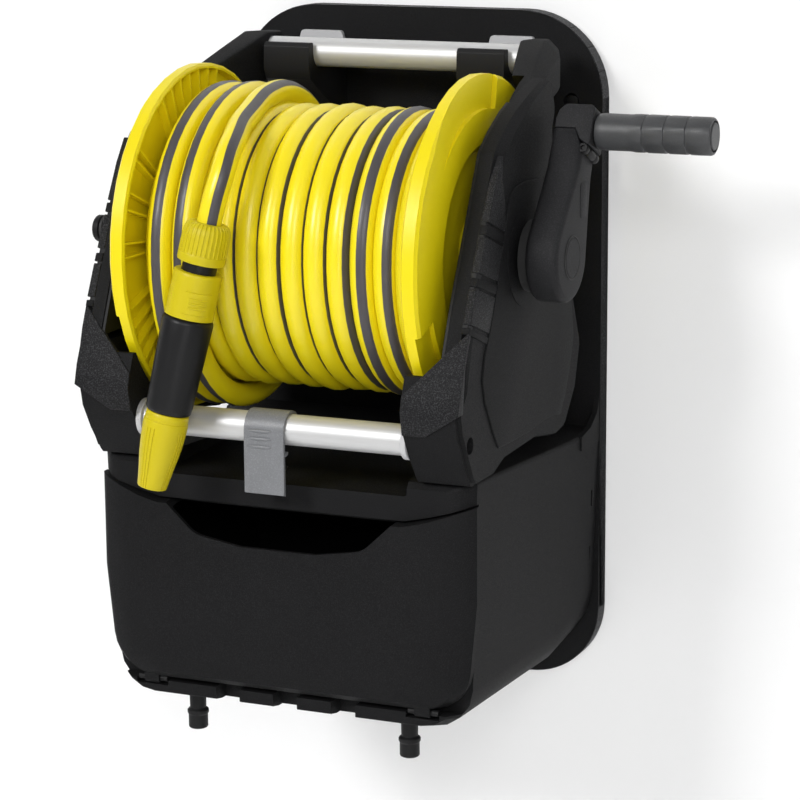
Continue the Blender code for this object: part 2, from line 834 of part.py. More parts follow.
def storage_door():
    door = door_shell("storage_door", 0.0)
    cut(door, door_shell("door_hollow", DOOR_WALL))
    cut(door, extruded("door_mouth", mouth_outline(), "Y", DOOR_FRONT_Y - 0.01, DOOR_BACK_Y + 0.01))
    for side, x_low, x_high in both_sides(DOOR_PIN_X):
        x_low, x_high = x_low + 0.0060, x_high - 0.0060
        start, end = (x_low, DOOR_HINGE_Y, DOOR_HINGE_Z), (x_high, DOOR_HINGE_Y, DOOR_HINGE_Z)
        lug = rod(f"lug_{side}", start, end, 0.0040, segments=24)
        arm_low = (x_low, DOOR_HINGE_Y - 0.0040, DOOR_HINGE_Z)
        arm = box(f"lug_arm_{side}", arm_low, (x_high, DOOR_HINGE_Y + 0.0040, DOOR_LOW + 0.0030))
        reach = Vector((0.01, 0, 0))
        bore_ends = Vector(start) - reach, Vector(end) + reach
        bore = rod(f"lug_bore_{side}", *bore_ends, DOOR_PIN_R + PIN_FIT, segments=24)
        join(door, lug, arm)
        cut(door, bore)
    return finish(door, black_plastic())


def door_pins():
    for side, x_low, x_high in both_sides(DOOR_PIN_X):
        start, end = (x_low, DOOR_HINGE_Y, DOOR_HINGE_Z), (x_high, DOOR_HINGE_Y, DOOR_HINGE_Z)
        finish(rod(f"door_pin_{side}", start, end, DOOR_PIN_R, segments=24), steel())


# Reel frame, in the frame of the reel's axis

def frame_outline():
    """The side frame in side view: head, strut, hub plate, foot and tail."""
    return rounded(
        [
            (0.0560, 0.1240, 0.006),
            (0.0200, 0.1130, 0.010),
            (-0.0060, 0.1040, 0.010),
            (-0.0285, 0.0925, 0.008),
            (-0.0470, 0.0800, 0.008),
            (-0.058, 0.059, 0.008),
            (-0.0715, 0.0325, 0.010),
            (-0.1000, -0.0215, 0.010),
            (-0.1140, -0.0530, 0.010),
            (-0.1190, -0.0790, 0.006),
            (-0.1245, -0.0930, 0.006),
            (-0.1200, -0.1090, 0.006),
            (-0.1100, -0.1265, 0.006),
            (-0.0970, FOOT_LOW, 0.008),
            (-0.0600, FOOT_LOW, 0.008),
            (-0.0400, -0.1430, 0.010),
            (0.0255, -0.1410, 0.010),
            (0.0670, -0.1480, 0.006),
            (0.0870, -0.1450, 0.008),
            (0.1100, -0.1190, 0.008),
            (0.1210, -0.0850, 0.008),
            (0.1160, -0.0745, 0.006),
            (0.1060, -0.0510, 0.010),
            (0.0920, 0.0000, 0.010),
            (0.0765, 0.0560, 0.012),
            (0.0560, 0.0800, 0.008),
            (0.0640, 0.0980, 0.008),
        ],
        steps=1,
    )


def strut_chamfered(outline):
    """The outline with the strut's front edge drawn back for the chamfer outside."""
    drawn = []
    for y, z in outline:
        low = min(1.0, max(0.0, (z + 0.0950) / 0.0200))
        high = min(1.0, max(0.0, (0.1130 - z) / 0.0100))
        share = low * high if y < 0.03 else 0.0
        drawn.append((y + STRUT_CHAMFER_Y * share, z))
    return drawn


def frame_shell(skin, outline):
    rings = [[(x, y, z) for y, z in outline] for x in (skin, FRAME_OUTER - STRUT_CHAMFER_X)]
    face = strut_chamfered(inset(outline, 0.0020))
    rings.append([(FRAME_OUTER, y, z) for y, z in face])
    return lofted("side_frame_right", rings, REEL)


def foot_outline():
    """The block that carries the lower tube, hollowed to clear the flange."""
    clear = FLANGE_R + 0.005
    relief = arc((0, 0), clear, 236, 211, 5)
    return [
        (-0.0600, FOOT_LOW),
        (-0.0600, -0.1275),
    ] + relief + [
        (-0.1190, -0.0690),
        (-0.1235, -0.0790),
        (-0.1275, -0.0930),
        (-0.1240, -0.1090),
        (-0.1130, -0.1280),
        (-0.0990, -0.1470),
        (-0.0960, FOOT_LOW),
    ]


def head_arm():
    """The arm that bends inwards from the strut's top to the top tube."""
    sections = (
        (0.0100, 0.0170, 0.0030, 0.0800, 0.1040, 0.003),
        (0.0400, 0.0268, 0.0060, 0.0880, 0.1190, 0.006),
        (0.0750, 0.0370, 0.0100, 0.0980, 0.1320, 0.009),
        (0.1080, 0.0455, 0.0130, 0.1050, 0.1435, 0.012),
        (0.1340, 0.0455, 0.0235, 0.1110, 0.1425, 0.008),
        (0.1365, 0.0435, 0.0260, 0.1140, 0.1400, 0.007),
    )
    rings = []
    for y, inwards_far, inwards, z_low, z_high, slope in sections:
        x_low, x_high = FRAME_OUTER - inwards_far, FRAME_OUTER - inwards
        ring = rounded(
            [
                (x_low, z_low, 0.005),
                (x_high, z_low, 0.005),
                (x_high, z_high - slope, 0.004),
                (x_high - slope, z_high, 0.004),
                (x_low, z_high, 0.003),
            ],
            steps=2,
        )
        rings.append([(x, y, z) for x, z in ring])
    return lofted("head_arm", rings, REEL)


def side_frame():
    """The right side frame: a moulded shell, open to the drum's side."""
    skin = FRAME_INNER + COVER_THICK + GAP
    outline = frame_outline()
    frame = frame_shell(skin, outline)
    join(frame, extruded("foot_block", foot_outline(), "X", FOOT_INNER, FRAME_OUTER - 0.003, REEL))
    join(frame, head_arm())
    room = (FRAME_INNER - 0.0020, 0, 0)
    cut(frame, rod("flange_room", (INSIDE, 0, 0), room, FLANGE_R + 0.0045, parent=REEL, segments=64))
    hub = (FRAME_OUTER + 0.0018, 0, 0)
    join(frame, rod("hub_ring", (skin, 0, 0), hub, HUB_RING_R, parent=REEL))
    pocket = extruded(
        "frame_pocket", strut_chamfered(inset(outline, FRAME_WALL)), "X", skin - 0.01,
        FRAME_OUTER - WALL, REEL,
    )
    cut(pocket, rod("boss_keep", (INSIDE, 0, 0), (OUTSIDE, 0, 0), BEARING_R + 0.004, parent=REEL))
    keep_foot = box("foot_keep", (INSIDE, -0.14, -0.16), (OUTSIDE, -0.0585, -0.0640), parent=REEL)
    keep_head = box("head_keep", (INSIDE, 0.010, 0.086), (OUTSIDE, 0.14, 0.16), parent=REEL)
    cut(pocket, keep_foot, keep_head)
    cut(frame, pocket)
    ends = (INSIDE, 0, 0), (OUTSIDE, 0, 0)
    cut(frame, rod("bearing_hole", *ends, BEARING_R + GAP, parent=REEL))
    for i, ((y, z), half) in enumerate(((TOP_TUBE, TOP_TUBE_HALF), (LOW_TUBE, LOW_TUBE_HALF))):
        end = (half + GAP, y, z)
        cut(frame, rod(f"tube_socket_{i}", (INSIDE, y, z), end, TUBE_R + GAP, parent=REEL))
    y, z = LOW_TUBE
    shank = (OUTSIDE, y, z)
    cut(frame, rod("screw_pass", (FOOT_INNER + 0.01, y, z), shank, 0.0025, parent=REEL, segments=20))
    cut(frame, rod("screw_sink", (SINK_X, y, z), shank, 0.0062, parent=REEL, segments=20))
    return finish(frame, black_plastic())


def frame_cover():
    """The flat cover that closes the side frame towards the drum."""
    outline = inset(frame_outline(), 0.0005)
    cover = extruded(
        "frame_cover_right", outline, "X", FRAME_INNER, FRAME_INNER + COVER_THICK, REEL
    )
    keep_foot = box("cover_foot", (INSIDE, -0.14, -0.16), (OUTSIDE, -0.0583, -0.0575), parent=REEL)
    keep_head = box("cover_head", (INSIDE, 0.009, 0.084), (OUTSIDE, 0.16, 0.16), parent=REEL)
    cut(cover, keep_foot, keep_head)
    ends = (INSIDE, 0, 0), (OUTSIDE, 0, 0)
    cut(cover, rod("cover_hole", *ends, BEARING_R + GAP, parent=REEL))
    return finish(cover, black_plastic())


def bearing():
    """A plain bush with a flange, pressed into the side frame."""
    low, high = FRAME_INNER - 0.0020, FRAME_OUTER + 0.0018
    profile = [
        (low, SHAFT_R + SHAFT_FIT),
        (low, BEARING_R + 0.0030),
        (FRAME_INNER - GAP, BEARING_R + 0.0030),
        (FRAME_INNER - GAP, BEARING_R),
        (high, BEARING_R),
        (high, SHAFT_R + SHAFT_FIT),
    ]
    return finish(turned("bearing_right", profile, parent=REEL), grey_plastic())


def tubes():
    """The two aluminium tubes that tie the side frames together."""
    for name, (y, z), half in (
        ("top_tube", TOP_TUBE, TOP_TUBE_HALF),
        ("lower_tube", LOW_TUBE, LOW_TUBE_HALF),
    ):
        profile = [(-half, TUBE_BORE), (-half, TUBE_R), (half, TUBE_R), (half, TUBE_BORE)]
        tube = turned(name, profile, parent=REEL, segments=32, centre=(0, y, z))
        finish(tube, aluminium())
    y, z = LOW_TUBE
    for side, x_low, x_high in both_sides((FOOT_INNER - 0.0045, FOOT_INNER - GAP)):
        profile = [
            (x_low, TUBE_R + GAP),
            (x_low, 0.0138),
            (x_high, 0.0138),
            (x_high, TUBE_R + GAP),
        ]
        bush = turned(f"tube_bush_{side}", profile, parent=REEL, segments=32, centre=(0, y, z))
        finish(bush, pale_plastic())


def tube_screw():
    """The screw that holds the lower tube's end."""
    y, z = LOW_TUBE
    head = SINK_X + GAP
    profile = [
        (LOW_TUBE_HALF - 0.010, 0),
        (LOW_TUBE_HALF - 0.010, 0.0022),
        (head, 0.0022),
        (head, 0.0055),
        (head + 0.0025, 0.0050),
        (head + 0.0032, 0.0030),
        (head + 0.0032, 0),
    ]
    screw = turned("tube_screw_right", profile, parent=REEL, segments=20, centre=(0, y, z))
    return finish(screw, steel())


def inlet_spigot():
    """The water inlet: a male spigot outside, a swivel stem inside the drum's shaft."""
    out = -FRAME_OUTER - 0.0021
    tip = -FRAME_OUTER - 0.0500
    stem_r = SHAFT_BORE - SHAFT_FIT
    profile = [
        (-PORT_X - 0.0130, 0.0038),
        (-PORT_X - 0.0130, stem_r),
        (out, stem_r),
        (out, 0.0110),
        (out - 0.0060, 0.0110),
        (out - 0.0080, 0.0088),
        (tip + 0.0220, 0.0086),
        (tip + 0.0200, 0.0118),
        (tip + 0.0160, 0.0118),
        (tip + 0.0145, 0.0104),
        (tip + 0.0100, 0.0104),
        (tip + 0.0088, 0.0088),
        (tip + 0.0060, 0.0088),
        (tip + 0.0050, 0.0104),
        (tip + 0.0015, 0.0104),
        (tip, 0.0092),
        (tip, 0.0038),
    ]
    spigot = turned("inlet_spigot", profile, parent=REEL, segments=20)
    finish(spigot, black_plastic())
    seal = [
        (tip + 0.0085, 0.0088 + GAP),
        (tip + 0.0085, 0.0099),
        (tip + 0.0063, 0.0099),
        (tip + 0.0063, 0.0088 + GAP),
    ]
    finish(turned("inlet_seal", seal, parent=REEL, segments=20), black_plastic())


# Drum, in the frame of the reel's axis

def flange_profile():
    """(along, radius) section of the right flange, with the seat that takes the barrel."""
    face, out = FLANGE_FACE, FLANGE_OUT
    rim_low = FLANGE_R - RIM_BAND
    floor = face + CHANNEL_DEPTH
    seat = BARREL_R - WALL - GAP - SEAT_FIT
    return [
        (face, SHAFT_R + GAP),
        (face, seat - 0.0030),
        (face - 0.0080, seat - 0.0030),
        (face - 0.0080, seat),
        (face, seat),
        (face, CHANNEL_LOW_R - 0.0030),
        (floor, CHANNEL_LOW_R),
        (floor, rim_low - 0.0010),
        (face, rim_low),
        (face, FLANGE_R - 0.0020),
        (face + 0.0012, FLANGE_R),
        (out - 0.0020, FLANGE_R),
        (out, FLANGE_R - 0.0025),
        (out, 0.0800),
        (face + FLANGE_WEB + 0.0020, 0.0730),
        (face + FLANGE_WEB, 0.0300),
        (out - 0.0010, 0.0240),
        (out - 0.0010, SHAFT_R + GAP),
    ]


def sector_angles(places):
    """Angles in degrees from +Y towards +Z, for places measured up from the front."""
    return [180 - place - i * 360 / SECTORS for i in range(SECTORS) for place in places]


def scoops():
    """The finger scoops in the rim's outer side. Each ends at a wall and fades out below."""
    cutters = []
    low, high = SCOOP_LOW_R, FLANGE_R + 0.003
    for i, start in enumerate(sector_angles([SCOOP_START])):
        rings = []
        for k in range(9):
            share = k / 8
            angle = math.radians(start + share * SCOOP_SWEEP)
            ease = max(0.0, (share - 0.35) / 0.65)
            floor = SCOOP_FLOOR + (FLANGE_OUT + 0.0008 - SCOOP_FLOOR) * ease**1.6
            section = ((floor, low), (floor, high), (0.14, high), (0.14, low))
            rings.append([(x, r * math.cos(angle), r * math.sin(angle)) for x, r in section])
        cutters.append(lofted(f"scoop_{i}", rings, REEL))
    return cutters


def channel_ribs():
    """Radial ribs in the channel: a close group behind each scoop, and three pairs between."""
    bm = bmesh.new()
    x_low, x_high = FLANGE_FACE + 0.0004, FLANGE_FACE + CHANNEL_DEPTH + 0.0010
    low = CHANNEL_LOW_R - 0.0005
    high = FLANGE_R - RIM_BAND + 0.0005
    for places in (RIB_GROUP, RIB_PAIRS):
        for angle in sector_angles(places):
            made = bmesh.ops.create_cube(bm, size=1)["verts"]
            bmesh.ops.scale(bm, vec=(x_high - x_low, high - low, RIB_THICK), verts=made)
            middle = ((x_high + x_low) / 2, (high + low) / 2, 0)
            bmesh.ops.translate(bm, vec=middle, verts=made)
            turn = Matrix.Rotation(math.radians(angle), 3, "X")
            bmesh.ops.rotate(bm, matrix=turn, verts=made)
    return mesh_object("channel_ribs", bm, REEL)


def flange():
    made = turned("flange_right", flange_profile(), parent=REEL, segments=40)
    made.data.transform(Matrix.Rotation(FACET_TURN, 4, "X"))
    cut(made, *scoops())
    join(made, channel_ribs())
    return finish(made, yellow_plastic())


def barrel():
    end = FLANGE_FACE - GAP
    profile = [
        (-end, BARREL_R - WALL),
        (-end, BARREL_R),
        (end, BARREL_R),
        (end, BARREL_R - WALL),
    ]
    made = turned("drum_barrel", profile, parent=REEL)
    port = rod("hose_port", (-PORT_X, 0, 0.03), (-PORT_X, 0, 0.08), 0.0083, parent=REEL)
    return finish(cut(made, port), yellow_plastic())


def shaft():
    """The drum's shaft: hollow for the water at the left, and a drive end at the right."""
    right = ARM_OUTER - 0.0110
    profile = [
        (-FRAME_OUTER + 0.0005, SHAFT_BORE),
        (-FRAME_OUTER + 0.0005, SHAFT_R),
        (right, SHAFT_R),
        (right, 0.0022),
        (right - 0.0200, 0.0022),
        (right - 0.0200, 0),
        (-PORT_X + 0.0150, 0),
        (-PORT_X + 0.0150, SHAFT_BORE),
    ]
    made = turned("drum_shaft", profile, parent=REEL)
    tap = rod("shaft_tap", (-PORT_X, 0, 0), (-PORT_X, 0, 0.03), 0.0055, parent=REEL, segments=24)
    return finish(cut(made, tap), black_plastic())


def hose_elbow():
    """The pipe that leads water from the shaft out through the barrel."""
    profile = [
        (SHAFT_R + GAP, 0.0045),
        (SHAFT_R + GAP, 0.0095),
        (SHAFT_R + 0.0040, 0.0095),
        (SHAFT_R + 0.0050, 0.0078),
        (BARREL_R - 0.0010, 0.0078),
        (BARREL_R - 0.0010, 0.0045),
    ]
    made = turned("hose_elbow", profile, "Z", parent=REEL, segments=24, centre=(-PORT_X, 0, 0))
    saddle = rod("elbow_saddle", (-PORT_X - 0.025, 0, 0), (-PORT_X + 0.025, 0, 0), SHAFT_R + GAP, parent=REEL)
    return finish(cut(made, saddle), black_plastic())


# Crank, in the frame of the arm: Z runs along the arm from the hub to the handle

def arm_outline():
    """The arm in side view: a round hub, tapering to the handle's seam."""
    start = 14
    hub = arc((0, 0), HUB_R, 90 + 90 - start, 360 + start, 18)
    return hub + [
        (0.0215, 0.0430),
        (ARM_HALF + 0.0015, 0.0640),
        (ARM_HALF, ARM_SEAM),
        (-ARM_HALF, ARM_SEAM),
        (-ARM_HALF - 0.0015, 0.0640),
        (-0.0215, 0.0430),
    ]


def side_extruded(name, outline, low, high, parent):
    """An (X, Z) outline with thickness along Y."""
    return extruded(name, outline, "Y", low, high, parent)


def arm_top():
    """What the handle block takes off the arm's top corner, in (X, Z)."""
    return [
        (BLOCK_STEP, ARM_SEAM + 0.001),
        (BLOCK_STEP, ARM_SEAM - 0.0010),
        (FOLD_X - 0.0045, FOLD_AT + 0.0050),
        (FOLD_X + 0.010, FOLD_AT + 0.0050),
        (FOLD_X + 0.010, ARM_SEAM + 0.001),
    ]


def crank_arm():
    arm = slab("crank_arm", arm_outline(), ARM_INNER, ARM_OUTER, 0.0025, 0.0025, CRANK)
    wide = 0.03
    cut(arm, side_extruded("arm_corner", arm_top(), -wide, wide, CRANK))
    for i, sign in enumerate((-1, 1)):
        ends = sorted((sign * (KNUCKLE_HALF + GAP), sign * (ARM_HALF - 0.0005)))
        start, end = (FOLD_X, ends[0], FOLD_AT), (FOLD_X, ends[1], FOLD_AT)
        join(arm, rod(f"ear_{i}", start, end, KNUCKLE_R, parent=CRANK, segments=24))
    room = KNUCKLE_HALF + GAP
    start, end = (FOLD_X, -room, FOLD_AT), (FOLD_X, room, FOLD_AT)
    cut(arm, rod("knuckle_room", start, end, KNUCKLE_R + 0.0005, parent=CRANK, segments=32))
    start, end = (FOLD_X, -wide, FOLD_AT), (FOLD_X, wide, FOLD_AT)
    cut(arm, rod("ear_bore", start, end, PIN_R + PIN_FIT, parent=CRANK, segments=20))
    bore = rod("shaft_socket", (INSIDE, 0, 0), (ARM_OUTER - 0.0105, 0, 0), SHAFT_R + GAP, parent=CRANK)
    screw_hole = rod("crank_hole", (INSIDE, 0, 0), (OUTSIDE, 0, 0), 0.0026, parent=CRANK, segments=20)
    seat = rod("cap_seat", (ARM_OUTER - 0.0055, 0, 0), (OUTSIDE, 0, 0), CAP_R + GAP, parent=CRANK)
    return finish(cut(arm, bore, screw_hole, seat), black_plastic())


def crank_fixings():
    """The screw that holds the crank on the shaft, and the cap over it."""
    floor = ARM_OUTER - 0.0055
    shaft_end = ARM_OUTER - 0.0110
    profile = [
        (shaft_end - 0.0180, 0),
        (shaft_end - 0.0180, 0.0019),
        (floor + GAP, 0.0019),
        (floor + GAP, 0.0050),
        (floor + 0.0024, 0.0046),
        (floor + 0.0028, 0.0030),
        (floor + 0.0028, 0),
    ]
    finish(turned("crank_screw", profile, parent=CRANK, segments=20), steel())
    low = floor + 0.0028 + GAP
    cap = [
        (low, 0),
        (low, CAP_R),
        (ARM_OUTER + 0.0003, CAP_R),
        (ARM_OUTER + 0.0009, CAP_R - 0.0010),
        (ARM_OUTER + 0.0009, 0),
    ]
    finish(turned("crank_cap", cap, parent=CRANK, segments=40), grey_plastic())


def handle_block():
    """The block at the arm's end that folds the grip down along the arm."""
    low = ARM_SEAM + GAP
    outline = [
        (ARM_INNER, low),
        (BLOCK_STEP + GAP, low),
        (BLOCK_STEP + GAP, ARM_SEAM - 0.0005),
        (FOLD_X - 0.0040, FOLD_AT + 0.0058),
        (FOLD_X + 0.0030, FOLD_AT + 0.0030),
        (GRIP_START - GAP, GRIP_AT - 0.0140),
        (GRIP_START - GAP, BLOCK_TOP - 0.0020),
        (GRIP_START - 0.0030, BLOCK_TOP),
        (ARM_INNER + 0.0040, BLOCK_TOP),
        (ARM_INNER, BLOCK_TOP - 0.0040),
    ]
    block = side_extruded("handle_block", outline, -ARM_HALF, ARM_HALF, HANDLE)
    bevel = block.modifiers.new("edges", "BEVEL")
    bevel.width = 0.0016
    bevel.segments = 1
    bevel.angle_limit = math.radians(60)
    for i, sign in enumerate((-1, 1)):
        ends = sorted((sign * KNUCKLE_HALF, sign * 0.03))
        start, end = (FOLD_X, ends[0], FOLD_AT), (FOLD_X, ends[1], FOLD_AT)
        cut(block, rod(f"ear_room_{i}", start, end, KNUCKLE_R + 0.0005, parent=HANDLE, segments=32))
    start, end = (FOLD_X, -KNUCKLE_HALF, FOLD_AT), (FOLD_X, KNUCKLE_HALF, FOLD_AT)
    join(block, rod("knuckle", start, end, KNUCKLE_R, parent=HANDLE, segments=32))
    wide = 0.03
    start, end = (FOLD_X, -wide, FOLD_AT), (FOLD_X, wide, FOLD_AT)
    cut(block, rod("knuckle_bore", start, end, PIN_R + PIN_FIT, parent=HANDLE, segments=20))
    end = (GRIP_START + 0.0155, 0, GRIP_AT)
    cut(block, rod("spindle_hole", (SPINDLE_START - GAP, 0, GRIP_AT), end, SPINDLE_R + GAP, parent=HANDLE))
    finish(block, black_plastic())
    half = ARM_HALF - 0.0010
    start, end = (FOLD_X, -half, FOLD_AT), (FOLD_X, half, FOLD_AT)
    finish(rod("handle_pin", start, end, PIN_R, parent=CRANK, segments=20), steel())


def grip_parts():
    """Spindle, free-turning sleeve and end cap."""
    at = (0, 0, GRIP_AT)
    spindle = rod(
        "grip_spindle", (SPINDLE_START, 0, GRIP_AT), (GRIP_END - 0.0030, 0, GRIP_AT), SPINDLE_R,
        parent=HANDLE, segments=24,
    )
    finish(spindle, steel())
    outline = [
        (GRIP_START + GAP, GRIP_R - 0.0022),
        (GRIP_START + 0.0040, GRIP_R - 0.0008),
        (GRIP_START + 0.0220, GRIP_R - 0.0008),
        (GRIP_START + 0.0270, GRIP_R),
    ]
    for groove in (0.0340, 0.0490, 0.0640):
        at_x = GRIP_START + groove
        outline += [
            (at_x - 0.0012, GRIP_R),
            (at_x, GRIP_R - 0.0011),
            (at_x + 0.0012, GRIP_R),
        ]
    outline += [
        (GRIP_END - 0.0030, GRIP_R - 0.0003),
        (GRIP_END, GRIP_R - 0.0014),
        (GRIP_END, SPINDLE_R + PIN_FIT),
        (GRIP_START + GAP, SPINDLE_R + PIN_FIT),
    ]
    sleeve = turned("grip_sleeve", outline, parent=HANDLE, segments=24, centre=at)
    finish(sleeve, grey_plastic())
    cap = [
        (GRIP_END - 0.0030 + GAP, 0),
        (GRIP_END - 0.0030 + GAP, SPINDLE_R - 0.0005),
        (GRIP_END + GAP, SPINDLE_R - 0.0005),
        (GRIP_END + GAP, 0.0100),
        (GRIP_TIP - 0.0005, 0.0100),
        (GRIP_TIP, 0.0094),
        (GRIP_TIP, 0),
    ]
    finish(turned("grip_end_cap", cap, parent=HANDLE, segments=20, centre=at), grey_plastic())


# Clip on the lower tube, in the frame of the reel's axis

def hose_clip():
    """A clip that snaps over the lower tube, with a plate that hangs in front of it."""
    y, z = LOW_TUBE
    inner = TUBE_R + PIN_FIT
    outer = inner + CLIP_THICK
    front = y - outer
    wrap_out = arc((y, z), outer, 180, -25, 12)
    wrap_in = arc((y, z), inner, -25, 180, 26)
    outline = [
        (front, CLIP_LOW + 0.001),
        (front, z - 0.020),
    ] + wrap_out + wrap_in + [
        (y - inner, z - 0.018),
        (front + CLIP_THICK + 0.0004, CLIP_LOW),
    ]
    span = CLIP_X - CLIP_HALF, CLIP_X + CLIP_HALF
    clip = extruded("hose_clip", outline, "X", *span, REEL)
    finish(clip, grey_plastic())
    leaf_y = y - TUBE_R * 0.62
    leaf = [
        (leaf_y, z - 0.0125),
        (leaf_y - 0.0012, z - 0.0125),
        (leaf_y - 0.0012, -0.1440),
        (leaf_y + 0.0006, -0.1475),
        (leaf_y + 0.0040, -0.1480),
        (leaf_y + 0.0065, -0.1455),
        (leaf_y + 0.0055, -0.1445),
        (leaf_y + 0.0036, -0.1465),
        (leaf_y + 0.0014, -0.1462),
        (leaf_y, -0.1435),
    ]
    bridge = [
        (y - inner - 0.0005, z - 0.0185),
        (y - inner - 0.0005, z - 0.0160),
        (leaf_y + 0.0018, z - 0.0150),
        (leaf_y + 0.0018, z - 0.0175),
    ]
    hook = extruded("clip_leaf", leaf, "X", span[0] + 0.003, span[1] - 0.003, REEL)
    finish(hook, black_plastic())
    join(clip, extruded("clip_bridge", bridge, "X", span[0] + 0.0004, span[1] - 0.0004, REEL))
    slot_low = (span[0] + 0.003 - GAP, leaf_y - 0.0012 - GAP, z - 0.0400)
    slot_high = (span[1] - 0.003 + GAP, leaf_y + GAP, z - 0.0100)
    cut(clip, box("leaf_slot", slot_low, slot_high, parent=REEL))


# Hose, connector and nozzle

def hose_winding():
    """The outer shape of the wound hose: two full layers, and two turns of a third."""
    inner = BARREL_R + GAP
    left, right = -FLANGE_FACE + GAP, FLANGE_FACE - GAP
    profile = [
        (left, inner),
        (left, LAYER_3_R),
        (LAYER_3_END, LAYER_3_R),
        (LAYER_3_END, LAYER_2_R),
        (right, LAYER_2_R),
        (right, inner),
    ]
    finish(turned("hose_winding", profile, parent=REEL, segments=40), hose_rubber())


def tail_route():
    """The free end of the hose: from behind the drum over its top and down to the connector."""
    radius = LAYER_2_R + HOSE_D / 2 + 0.0006
    lane = LAYER_3_END + HOSE_D / 2 + 0.0008
    route = []
    for i in range(11):
        angle = math.radians(182 - 10 * i)
        drift = lane + 0.0040 * (i / 10) ** 2
        route.append((drift, -radius * math.cos(angle), radius * math.sin(angle)))
    route += TAIL_BEND
    top, end = Vector(NOZZLE_TOP), Vector(NOZZLE_END)
    down = (end - top).normalized()
    for back in (0.0, -0.0180):
        route.append(tuple(top - down * back))
    return route


def smooth(route, step):
    """Evenly spread points on a smooth curve through a route."""
    points = [Vector(p) for p in route]
    points = [2 * points[0] - points[1]] + points + [2 * points[-1] - points[-2]]
    fine = []
    for a, b, c, d in zip(points, points[1:], points[2:], points[3:]):
        for k in range(12):
            t = k / 12
            fine.append(
                0.5
                * (2 * b + (c - a) * t + (2 * a - 5 * b + 4 * c - d) * t**2 + (3 * b - a - 3 * c + d) * t**3)
            )
    fine.append(points[-2])
    spread = [fine[0]]
    for point in fine[1:-1]:
        if (point - spread[-1]).length >= step:
            spread.append(point)
    return spread + [fine[-1]]


def hose_tail():
    curve = bpy.data.curves.new("hose_tail", "CURVE")
    curve.dimensions = "3D"
    curve.bevel_depth = HOSE_D / 2
    curve.bevel_resolution = 3
    curve.use_fill_caps = True
    points = smooth(tail_route(), 0.014)
    spline = curve.splines.new("POLY")
    spline.points.add(len(points) - 1)
    for point, place in zip(spline.points, points):
        point.co = (*place, 1)
    obj = bpy.data.objects.new("hose_tail_path", curve)
    PARTS.objects.link(obj)
    finish(mesh_object("hose_tail", baked(obj), REEL), hose_rubber())


def connector_nut():
    profile = [
        (0.0000, HOSE_D / 2 + GAP),
        (0.0000, NUT_R - 0.0045),
        (0.0050, NUT_R - 0.0012),
        (0.0090, NUT_R),
        (NUT_LENGTH - 0.0030, NUT_R),
        (NUT_LENGTH, NUT_R - 0.0006),
        (NUT_LENGTH, CORE_R + GAP),
        (0.0215, CORE_R + GAP),
        (0.0215, HOSE_D / 2 + GAP),
    ]
    nut = turned("connector_nut", profile, "Z", NOZZLE, segments=28)
    return finish(nut, yellow_plastic())


def connector_body():
    """The connector's core, seen in the slot between nut and sleeve."""
    profile = [
        (0.0220, 0.0040),
        (0.0220, CORE_R),
        (SLEEVE_END - 0.0030, CORE_R),
        (SLEEVE_END - 0.0030, 0.0083),
        (0.0400, 0.0083),
        (0.0400, 0.0040),
    ]
    return finish(turned("connector_body", profile, "Z", NOZZLE, segments=28), black_plastic())


def connector_sleeve():
    profile = [
        (SLEEVE_START, CORE_R + PIN_FIT),
        (SLEEVE_START, SLEEVE_R - 0.0008),
        (SLEEVE_START + 0.0020, SLEEVE_R),
        (SLEEVE_END - 0.0160, SLEEVE_R - 0.0004),
        (SLEEVE_END, SLEEVE_R - 0.0016),
        (SLEEVE_END, CORE_R + PIN_FIT),
    ]
    return finish(turned("connector_sleeve", profile, "Z", NOZZLE, segments=28), yellow_plastic())


def nozzle_body():
    start = SLEEVE_END + GAP
    profile = [
        (0.0450, 0.0040),
        (0.0450, 0.0080),
        (start, 0.0080),
        (start, BODY_R - 0.0020),
        (start + 0.0030, BODY_R),
        (BODY_END - 0.0040, BODY_R - 0.0018),
        (BODY_END, BODY_R - 0.0034),
        (BODY_END, 0.0092),
        (BODY_END - 0.0120, 0.0092),
        (BODY_END - 0.0120, 0.0040),
    ]
    return finish(turned("nozzle_body", profile, "Z", NOZZLE, segments=28), black_plastic())


def nozzle_tip():
    total = (Vector(NOZZLE_END) - Vector(NOZZLE_TOP)).length
    start = BODY_END + GAP
    stem = 0.0092 - SHAFT_FIT
    profile = [
        (BODY_END - 0.0110, 0.0030),
        (BODY_END - 0.0110, stem),
        (start, stem),
        (start, BODY_R - 0.0034),
        (start + 0.0025, BODY_R - 0.0017),
        (start + 0.0080, BODY_R - 0.0021),
        (start + 0.0150, BODY_R - 0.0038),
        (total - 0.0010, TIP_R),
        (total, TIP_R - 0.0010),
        (total, 0.0060),
        (total - 0.0080, 0.0030),
    ]
    return finish(turned("nozzle_tip", profile, "Z", NOZZLE, segments=28), yellow_plastic())


REEL = new_empty("reel_axis", (REEL_X, AXIS_Y, 0))
CRANK = new_empty("crank_axis", (0, 0, 0), (-ARM_LEAN, 0, 0), REEL)
HANDLE = new_empty("handle_frame", (0, 0, 0), (0, 0, 0), CRANK)
NOZZLE_DOWN = Vector(NOZZLE_END) - Vector(NOZZLE_TOP)
NOZZLE_TURN = Vector((0, 0, 1)).rotation_difference(NOZZLE_DOWN).to_euler()
NOZZLE = new_empty("nozzle_axis", NOZZLE_TOP, NOZZLE_TURN, REEL)


